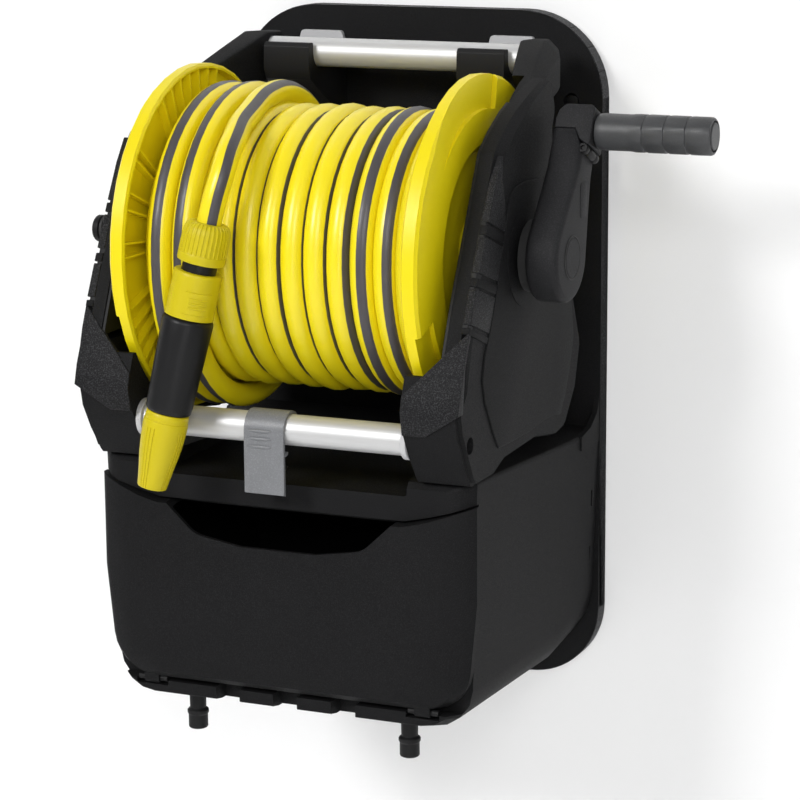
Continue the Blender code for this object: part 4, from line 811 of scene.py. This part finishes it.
def nozzle_tip():
    start = 0.1403
    total = (NOZZLE_END - NOZZLE_TOP).length
    profile = [
        (0.1290, 0.0030), (0.1290, 0.0091), (start, 0.0091), (start, 0.0150),
        (start + 0.0006, 0.0154), (start + 0.0052, 0.0158), (start + 0.0058, 0.0155),
        (start + 0.0062, 0.0160), (start + 0.0078, 0.0162), (start + 0.0110, 0.0162),
        (start + 0.0200, 0.0157), (start + 0.0320, 0.0144), (start + 0.0440, 0.0124),
        (total - 0.0012, 0.0108), (total - 0.0003, 0.0105), (total, 0.0098),
        (total, 0.0062), (total - 0.0080, 0.0030), (0.1290, 0.0030),
    ]
    piece = ring_stack("nozzle_tip_shell", profile, FINE_SIDES)

    def flute(centre, normal):
        outside = math.hypot(centre.x, centre.y) > 0.0100
        on_taper = start + 0.010 < centre.z < total - 0.006
        column = column_of(math.atan2(centre.x, -centre.y))
        return outside and on_taper and column % QUARTER in FLUTES

    raise_faces(piece, flute, -0.0006)
    rounded_edges(piece, 0.0002, 1, 45, 38)
    return fit(piece, nozzle_place(), "jet_ring", *YELLOW, "nozzle_tip")


class HOSEREEL_OT_fittings(bpy.types.Operator):
    """Makes the quick connector and the nozzle at the hose's end"""

    bl_idname = "hosereel.fittings"
    bl_label = "Connector and Nozzle"

    def execute(self, context):
        pieces = [connector_nut(), connector_core(), release_sleeve(), nozzle_barrel()]
        nozzle_tip()
        thumb_pad()
        path = [row[0] for row in tail_rows()]
        round(length_of(path), 3)
        return {"FINISHED"}


# Crank grip

def crank_place():
    """The crank's frame: X along the axis, Z along the arm."""
    return Matrix.Translation(AXIS) @ Matrix.Rotation(-ARM_LEAN, 4, "X")


def grip_shell():
    """The free-turning grip, with shallow flats, three grooves and a rounded end."""
    start, end, radius = 0.19155, 0.27860, 0.0142
    flats, flat_at = 8, radius * 0.957
    profile = [
        (start, 0.0042), (start, 0.0112), (start + 0.0006, 0.0124), (start + 0.0020, 0.0131),
        (start + 0.0060, 0.0134), (start + 0.0240, 0.0133), (start + 0.0262, 0.0134),
        (start + 0.0300, radius - 0.0002), (start + 0.0325, radius),
    ]
    for groove in (0.0369, 0.0530, 0.0691):
        at = start + groove
        profile += [
            (at - 0.0010, radius), (at - 0.0003, radius - 0.0010),
            (at + 0.0003, radius - 0.0010), (at + 0.0024, radius - 0.0001),
        ]
    profile += [
        (end - 0.0060, radius - 0.0001), (end - 0.0022, radius - 0.0004),
        (end - 0.0006, radius - 0.0011), (end, radius - 0.0020), (end, 0.0115),
        (end - 0.0024, 0.0112), (end - 0.0024, 0.0042), (start, 0.0042),
    ]
    piece = ring_stack("crank_grip", profile, 80)
    edit(piece)
    for k in range(flats):
        select_all()
        angle = 2 * math.pi * (k + 0.5) / flats
        out = Vector((math.cos(angle), math.sin(angle), 0))
        bpy.ops.mesh.bisect(plane_co=out * flat_at, plane_no=out, use_fill=True, clear_outer=True)
    deselect()
    smooth(piece, 30)
    place = crank_place() @ Matrix.Translation((0, 0, GRIP_AT)) @ Z_TO_X
    return fit(piece, place, "grip", "grey_plastic", "grey_plastic", "grip_sleeve")


class HOSEREEL_OT_grip(bpy.types.Operator):
    """Makes the crank's grip"""

    bl_idname = "hosereel.grip"
    bl_label = "Crank Grip"

    def execute(self, context):
        grip_shell()
        return {"FINISHED"}


# Side frames' panels and pads, in the frame of the reel's axis

FRAME_FACE = 0.1500
SUNK_FACE = FRAME_FACE - 0.0010
PANEL_FACE = FRAME_FACE + 0.0014
BACKING_IN = 0.1440
PAD_IN = 0.1448
PAD_FACE = FRAME_FACE + 0.0009
FOOT_IN = 0.1068
FOOT_FACE = FRAME_FACE + 0.0006
FOOT_CUTS = (
    ((0.1113, 0, -0.0775), (-1.02, 0, 1)),
    ((0.1465, 0, -0.0956), (0.645, 0, -1)),
    ((0.1245, 0, -0.1104), (0, 0, -1)),
)
HUB_PANEL = (
    (-0.0035, 0.0537), (0.0247, 0.0527), (0.0600, 0.0470), (0.0740, 0.0330), (0.0850, -0.0050),
    (0.0965, -0.0480), (0.1020, -0.0776), (0.0970, -0.0940), (0.0861, -0.1170), (0.0745, -0.1330),
    (0.0621, -0.1309), (0.0382, -0.1302), (0.0094, -0.1325), (-0.0304, -0.1321),
    (-0.0533, -0.1312), (-0.0630, -0.1189), (-0.0792, -0.0935), (-0.0843, -0.0765),
    (-0.0799, -0.0595), (-0.0683, -0.0397), (-0.0551, -0.0122), (-0.0444, 0.0137),
    (-0.0365, 0.0365), (-0.0293, 0.0484), (-0.0200, 0.0520),
)
STRUT_PADS = (
    ((-0.0440, 0.0775), (-0.0570, 0.0600), (-0.0716, 0.0344), (-0.0378, 0.0222),
     (-0.0405, 0.0450), (-0.0450, 0.0600)),
    ((-0.0726, 0.0325), (-0.0759, 0.0261), (-0.0413, 0.0143), (-0.0393, 0.0208)),
    ((-0.0769, 0.0243), (-0.0890, 0.0012), (-0.0506, -0.0113), (-0.0428, 0.0124)),
    ((-0.0908, -0.0021), (-0.0938, -0.0078), (-0.0548, -0.0200), (-0.0520, -0.0134)),
    ((-0.0945, -0.0092), (-0.1059, -0.0321), (-0.0680, -0.0459), (-0.0562, -0.0221)),
    ((-0.1069, -0.0343), (-0.1088, -0.0386), (-0.0726, -0.0529), (-0.0697, -0.0486)),
)
STRUT_BACKING = (
    (-0.0446, 0.0772), (-0.0564, 0.0600), (-0.0708, 0.0344), (-0.0881, 0.0012),
    (-0.1079, -0.0386), (-0.0732, -0.0520), (-0.0685, -0.0459), (-0.0512, -0.0113),
    (-0.0384, 0.0222), (-0.0410, 0.0450), (-0.0454, 0.0600),
)
FOOT_PAD = (
    (-0.1083, -0.0380), (-0.1150, -0.0530), (-0.1192, -0.0665), (-0.1250, -0.0790),
    (-0.1290, -0.0930), (-0.1256, -0.1095), (-0.1240, -0.1120), (-0.1195, -0.1120),
    (-0.1190, -0.0900), (-0.1152, -0.0622), (-0.1100, -0.0500), (-0.1030, -0.0380),
)


class HOSEREEL_OT_frame_forms(bpy.types.Operator):
    """Makes the hub panels, the strut pads and the grained foot pads of the side frames"""

    bl_idname = "hosereel.frame_forms"
    bl_label = "Frame Panels and Pads"

    def execute(self, context):
        panel = traced_plate("hub_panel_right", HUB_PANEL, SUNK_FACE, PANEL_FACE)
        self.both(rounded_edges(panel, 0.0009), "black_fine")
        backing = traced_plate("strut_backing_right", STRUT_BACKING, BACKING_IN, SUNK_FACE)
        self.both(rounded_edges(backing, 0.0006), "black_satin")
        for i, outline in enumerate(STRUT_PADS):
            name = "strut_pad_%d_right" % (i + 1)
            pad = traced_plate(name, outline, PAD_IN, PAD_FACE)
            self.both(rounded_edges(pad, 0.0006), "black_fine" if i % 2 else "black_grain")
        pad = traced_plate("foot_pad_right", FOOT_PAD, FOOT_IN, FOOT_FACE)
        for place, outwards in FOOT_CUTS:
            slice_off(pad, place, Vector(outwards).normalized())
        self.both(rounded_edges(pad, 0.0013), "black_grain")
        return {"FINISHED"}

    def both(self, piece, finish):
        """Finishes a piece of the right frame and a mirror copy of it on the left one."""
        activate(piece)
        bpy.ops.object.duplicate()
        other = bpy.context.object
        other.name = piece.name.replace("right", "left")
        other.scale.x = -1
        edit(settle(other))
        face_outwards()
        for made in (piece, other):
            fit(made, Matrix.Translation(AXIS), "reel_frame", finish, "black_plastic")


# Back plate's band

PLATE_HALF = 0.1535
PLATE_CORNERS = (
    (1, -0.3682, 0.058), (1, 0.1608, 0.066), (-1, 0.1608, 0.066), (-1, -0.3682, 0.058),
)
CORNER_STEPS = 16
BAND_BACK = 0.0002
BAND_FRONT = 0.0149
BAND_WALL = 0.0024


class HOSEREEL_OT_plate_band(bpy.types.Operator):
    """Makes the grained band round the edge of the back plate, lighter to paint a highlight along
    that edge
    """

    bl_idname = "hosereel.plate_band"
    bl_label = "Plate Band"

    def execute(self, context):
        outline = []
        for i, (side, level, radius) in enumerate(PLATE_CORNERS):
            up = 1 if level > 0 else -1
            for k in range(CORNER_STEPS + 1):
                angle = math.radians(-90 + 90 * i + 90 * k / CORNER_STEPS)
                outline.append((side * (PLATE_HALF - radius) + radius * math.cos(angle),
                                level - up * radius + radius * math.sin(angle)))
        band = traced_plate("plate_band", outline, BAND_BACK, BAND_FRONT)
        pick_faces(band, lambda centre, normal: abs(normal.x) > 0.9)
        bpy.ops.mesh.inset(thickness=BAND_WALL)
        bpy.ops.mesh.delete(type="FACE")
        bpy.ops.mesh.select_all(action="DESELECT")
        bpy.ops.mesh.select_mode(type="EDGE")
        bpy.ops.mesh.select_non_manifold()
        bpy.ops.mesh.bridge_edge_loops()
        face_outwards()
        smooth(band, 40)
        turn = Matrix.Rotation(-math.pi / 2, 4, "Z")
        # The band's lighter finish is a painted highlight along the plate's edge.
        fit(band, turn, "station", "edge_grain_painted_highlight", "black_plastic")
        return {"FINISHED"}


# Clip's ridges

RIDGE_X = -0.0034
RIDGE_Y = -0.3007
RIDGE_LEVELS = (-0.1180, -0.1237, -0.1295)
RIDGE_HALVES = (0.0096, 0.0010, 0.0013)


class HOSEREEL_OT_clip_ridges(bpy.types.Operator):
    """Makes the three finger ridges on the clip's plate"""

    bl_idname = "hosereel.clip_ridges"
    bl_label = "Clip Ridges"

    def execute(self, context):
        for i, level in enumerate(RIDGE_LEVELS):
            ridge = add("clip_ridge_%d" % (i + 1), bpy.ops.mesh.primitive_uv_sphere_add,
                        segments=32, ring_count=16, location=(RIDGE_X, RIDGE_Y, level))
            ridge.scale = RIDGE_HALVES
            dress(smooth(settle(ridge), 60), "clip", "clip_grey", "grey_plastic")
        return {"FINISHED"}


# Crank's small forms

CAP_FACE = 0.18645
HUB_CAP_R = 0.0149
HUB_CAP_RING = ((-0.0010, 0.0001), (0.0006, 0.0002), (0.0008, 0.0006), (0.0006, 0.0011),
                (-0.0010, 0.0013), (-0.0010, 0.0001))
ARM_MARK = ((0.0165, 0.0275), (0.0165, 0.0500), (0.0180, 0.0515), (0.0285, 0.0515),
            (0.0300, 0.0500), (0.0300, 0.0275), (0.0285, 0.0260), (0.0180, 0.0260))
ARM_IN = 0.16145
ARM_SEAM = 0.0925
ARM_HUB_R = 0.0326
ARM_HUB_FROM = 166
ARM_HUB_STEP = 8
ARM_HUB_POINTS = 27
ARM_SIDE = ((0.0215, 0.0430), (0.0160, 0.0640), (0.0145, ARM_SEAM), (0.0143, 0.1030))
FOLD_X = 0.1864
FOLD_AT = 0.0785


def crank_arm_shell():
    """The arm: a round hub that tapers to the handle's seam, with well rounded edges."""
    outline = []
    for k in range(ARM_HUB_POINTS):
        angle = math.radians(ARM_HUB_FROM + ARM_HUB_STEP * k)
        outline.append((ARM_HUB_R * math.cos(angle), ARM_HUB_R * math.sin(angle)))
    outline += [*ARM_SIDE, *((-across, along) for across, along in reversed(ARM_SIDE))]
    piece = traced_plate("crank_arm_shell", outline, ARM_IN, CAP_FACE)
    rounded_edges(piece, 0.0052, 5, 50)
    slice_off(piece, (0, 0, ARM_SEAM - 0.0003), (0, 0, 1))
    slice_off(piece, (0.1783, 0, ARM_SEAM), Vector((0.0090, 0, 0.0042)).normalized())
    return fit(piece, crank_place(), "drum", "arm_black", "black_plastic", "crank_arm")


def handle_block_shell():
    """The folding block, traced in side view, with its skirt down to the pivot."""
    outline = [
        (0.1626, 0.0929), (0.1785, 0.0929), (0.1790, 0.0918), (0.1829, 0.0846), (0.1895, 0.0812),
        (0.1910, 0.0822), (0.1911, 0.1088), (0.1888, 0.1110), (0.1690, 0.1110), (0.1644, 0.1066),
        (0.1626, 0.1000),
    ]
    piece = traced_plate("handle_block_shell", outline, -0.0143, 0.0143)
    rounded_edges(piece, 0.0016)
    place = crank_place() @ Matrix.Rotation(-math.pi / 2, 4, "Z")
    return fit(piece, place, "handle", "arm_black", "black_plastic", "handle_block")


def pivot_barrel(name, low, high, body):
    """A rounded barrel on the handle's pivot, from low to high across the arm."""
    bore, end, radius, edge = 0.0018, 0.0032, 0.0038, 0.0008
    profile = [(low, bore), (low, end), (low + edge, radius), (high - edge, radius), (high, end),
               (high, bore), (low, bore)]
    piece = ring_stack(name, profile, 40)
    smooth(piece, 40)
    turn = Matrix.Translation((FOLD_X, 0, FOLD_AT)) @ Matrix.Rotation(-math.pi / 2, 4, "X")
    return fit(piece, crank_place() @ turn, body, "black_satin", "black_plastic")


def arm_boss():
    """The darker boss between the arm and the side frame."""
    profile = [(0.1546, 0.0190), (0.1546, 0.0262), (0.1625, 0.0270), (0.1625, 0.0190),
               (0.1546, 0.0190)]
    piece = ring_stack("arm_boss", profile)
    return fit(smooth(piece, 40), crank_place() @ Z_TO_X, "drum", "black_rubber", "black_plastic")


def hub_cap_ring():
    """The thin dark ring round the cap in the middle of the crank's hub."""
    profile = [(height, HUB_CAP_R + wide) for height, wide in HUB_CAP_RING]
    ring = ring_stack("hub_cap_ring", profile)
    smooth(ring, 50)
    place = Matrix.Translation(AXIS + Vector((CAP_FACE, 0, 0))) @ Z_TO_X
    return fit(ring, place, "drum", "black_rubber", "black_plastic")


def arm_plate():
    """The small raised plate on the arm's face."""
    plate = traced_plate("arm_plate", ARM_MARK, CAP_FACE - 0.0010, CAP_FACE + 0.0004)
    place = Matrix.Translation(AXIS)
    return fit(rounded_edges(plate, 0.0003, 2), place, "drum", "arm_black", "black_plastic")


class HOSEREEL_OT_crank_forms(bpy.types.Operator):
    """Makes the crank's arm, folding block, pivot, boss, cap ring and raised plate"""

    bl_idname = "hosereel.crank_forms"
    bl_label = "Crank Forms"

    def execute(self, context):
        crank_arm_shell()
        handle_block_shell()
        arm_boss()
        pivot_barrel("pivot_ear_1", -0.0140, -0.0077, "drum")
        pivot_barrel("pivot_ear_2", 0.0077, 0.0140, "drum")
        pivot_barrel("pivot_knuckle", -0.0074, 0.0074, "handle")
        hub_cap_ring()
        arm_plate()
        return {"FINISHED"}


# Finish of the CAD nodes that stay

NODE_FINISHES = {
    "black_fine": ("station_housing", "storage_door", "side_frame_left", "side_frame_right"),
    "black_satin": (
        "hook_left", "hook_right", "park_spigot_left", "park_spigot_right", "wall_screw_1",
        "wall_screw_2", "wall_screw_3", "wall_screw_4", "door_pin_left", "door_pin_right",
        "frame_cover_left", "frame_cover_right", "inlet_spigot", "clip_leaf", "drum_shaft",
        "hose_elbow", "handle_pin",
    ),
    "pale_plastic": ("hook_pad_left", "hook_pad_right", "tube_bush_left", "tube_bush_right"),
    "grey_plastic": ("bearing_left", "bearing_right", "grip_end_cap"),
    "clip_grey": ("hose_clip",),
    "arm_black": ("crank_cap",),
    "yellow_plastic": ("flange_left", "flange_right", "drum_barrel"),
    "black_rubber": ("inlet_seal",),
    "aluminium": ("top_tube", "lower_tube"),
    "steel": ("tube_screw_left", "tube_screw_right", "crank_screw", "grip_spindle"),
}
SOFT_EDGES = {
    "storage_door": 0.0018,
    "station_housing": 0.0009,
    "side_frame_left": 0.0014,
    "side_frame_right": 0.0014,
    "hose_clip": 0.0004,
    "clip_leaf": 0.0002,
    "flange_left": 0.0005,
    "flange_right": 0.0005,
}


class HOSEREEL_OT_mouldings(bpy.types.Operator):
    """Rounds the edges of the CAD nodes that stay, and gives them their finishes"""

    bl_idname = "hosereel.mouldings"
    bl_label = "Mouldings"

    def execute(self, context):
        for finish, names in NODE_FINISHES.items():
            for name in names:
                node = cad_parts[name]
                node.data.materials.clear()
                node.data.materials.append(finish_of(finish))
                self.soften(node, SOFT_EDGES.get(name, sizes().edge_radius))
        return {"FINISHED"}

    def soften(self, node, radius):
        """Merges a node's loose triangles into planes, rounds its edges and shades it smooth."""
        faces = node.data.polygons
        faces.foreach_set("use_smooth", [True] * len(faces))
        add_modifier(node, "WELD", merge_threshold=0.00001)
        add_modifier(node, "DECIMATE", decimate_type="DISSOLVE", angle_limit=math.radians(0.6))
        add_modifier(node, "BEVEL", width=radius, segments=2, limit_method="ANGLE",
                     angle_limit=math.radians(30))
        add_modifier(node, "WEIGHTED_NORMAL", mode="FACE_AREA", weight=60)


# Stage, light and camera

STAGE_COLOUR = (0.93, 0.93, 0.93)
WALL_Y = 0.0025
FLOOR_Z = -1.10
STAGE_LIFT = 0.30
WORLD_STRENGTH = 0.28
LENS = 130
SENSOR = 36
CAMERA_AT = (0.8856, -2.1030, 0.3441)
CAMERA_TURN = math.radians(23.381)
CAMERA_TILT = math.radians(12.366)
CAMERA_ROLL = math.radians(-0.382)


def stage_surface(name):
    """A pale matt surface, lifted to the camera, with its shadows, and clear from behind."""
    surface = Surface(name)
    surface.set(base_color=STAGE_COLOUR, roughness=0.9, specular_ior_level=0.1)
    seen = surface.node("ShaderNodeLightPath", output="Is Camera Ray")
    mirrored = surface.node("ShaderNodeLightPath", output="Is Glossy Ray")
    plain = Signal(surface, surface.shader.outputs[0])
    glow = surface.node("ShaderNodeEmission", {}, {"Color": (1, 1, 1), "Strength": 1.0})
    lift = (seen + mirrored) * STAGE_LIFT
    lit = surface.node("ShaderNodeMixShader", {}, {0: lift, 1: plain, 2: glow})
    back = surface.node("ShaderNodeNewGeometry", output="Backfacing")
    clear = surface.node("ShaderNodeBsdfTransparent")
    shown = surface.node("ShaderNodeMixShader", {}, {0: back, 1: lit, 2: clear})
    surface.put(surface.out.inputs["Surface"], shown)
    return surface.material


def stage_plane(name, size, location, rotation, material):
    plane = add(name, bpy.ops.mesh.primitive_plane_add, size=size, location=location,
                rotation=rotation)
    plane.data.materials.append(material)


def area_light(name, place, target, width, height, power):
    lamp = add(name, bpy.ops.object.light_add, type="AREA", location=place)
    lamp.data.shape = "RECTANGLE"
    lamp.data.size = width
    lamp.data.size_y = height
    lamp.data.energy = power
    aim = Vector(target) - Vector(place)
    lamp.rotation_euler = aim.to_track_quat("-Z", "Y").to_euler()


def photo_camera():
    data = bpy.data.cameras.new("photo_camera")
    data.lens = LENS
    data.sensor_width = SENSOR
    camera = bpy.data.objects.new("photo_camera", data)
    bpy.context.scene.collection.objects.link(camera)
    tilted = Matrix.Rotation(math.pi / 2 - CAMERA_TILT, 4, "X")
    aimed = Matrix.Rotation(CAMERA_TURN, 4, "Z") @ tilted @ Matrix.Rotation(CAMERA_ROLL, 4, "Z")
    camera.matrix_world = Matrix.Translation(CAMERA_AT) @ aimed
    bpy.context.scene.camera = camera


class HOSEREEL_OT_stage(bpy.types.Operator):
    """Sets up the camera, the lamps, the wall behind the reel and the floor"""

    bl_idname = "hosereel.stage"
    bl_label = "Stage"

    def execute(self, context):
        photo_camera()
        wall = stage_surface("stage_wall")
        stage_plane("wall", 6.0, (0, WALL_Y, 1.9), (math.pi / 2, 0, 0), wall)
        floor = stage_surface("stage_floor")
        stage_plane("floor", 12.0, (0, -3.0, FLOOR_Z), (0, 0, 0), floor)
        world = bpy.data.worlds.new("studio")
        context.scene.world = world
        world.use_nodes = True
        shade = world.node_tree.nodes["Background"]
        shade.inputs["Color"].default_value = (1, 1, 1, 1)
        shade.inputs["Strength"].default_value = WORLD_STRENGTH
        target = (0, -0.15, -0.08)
        area_light("key", (-1.7, -4.0, 2.3), target, 1.3, 1.3, 140)
        area_light("front", (1.5, -3.0, 1.3), target, 1.2, 1.2, 38)
        area_light("streak", (0.85, -2.2, -0.35), (0, -0.28, 0.0), 0.12, 0.55, 2.6)
        context.scene.view_settings.view_transform = "Standard"
        return {"FINISHED"}


class HOSEREEL_PT_panel(bpy.types.Panel):
    """Lists the steps of the finish"""

    bl_label = "Hose Reel"
    bl_idname = "HOSEREEL_PT_panel"
    bl_space_type = "VIEW_3D"
    bl_region_type = "UI"
    bl_category = "Hose Reel"

    def draw(self, context):
        layout = self.layout
        for group in (context.scene.hose_reel_sizes, context.scene.hose_reel_colours):
            for name in group.bl_rna.properties.keys():
                if name not in ("rna_type", "name"):
                    layout.prop(group, name)
        for step in STEPS:
            layout.operator(step.bl_idname)


STEPS = (
    HOSEREEL_OT_stage,
    HOSEREEL_OT_hose,
    HOSEREEL_OT_fittings,
    HOSEREEL_OT_grip,
    HOSEREEL_OT_frame_forms,
    HOSEREEL_OT_plate_band,
    HOSEREEL_OT_clip_ridges,
    HOSEREEL_OT_crank_forms,
    HOSEREEL_OT_mouldings,
)
CLASSES = (HoseReelSizes, HoseReelColours, *STEPS, HOSEREEL_PT_panel)


def register():
    for made in CLASSES:
        bpy.utils.register_class(made)
    bpy.types.Scene.hose_reel_sizes = bpy.props.PointerProperty(type=HoseReelSizes)
    bpy.types.Scene.hose_reel_colours = bpy.props.PointerProperty(type=HoseReelColours)


def unregister():
    del bpy.types.Scene.hose_reel_colours
    del bpy.types.Scene.hose_reel_sizes
    for made in reversed(CLASSES):
        bpy.utils.unregister_class(made)


def main():
    register()
    bpy.ops.hosereel.stage()
    bpy.ops.hosereel.hose()
    bpy.ops.hosereel.fittings()
    bpy.ops.hosereel.grip()
    bpy.ops.hosereel.frame_forms()
    bpy.ops.hosereel.plate_band()
    bpy.ops.hosereel.clip_ridges()
    bpy.ops.hosereel.crank_forms()
    bpy.ops.hosereel.mouldings()


if __name__ == "__main__":
    main()
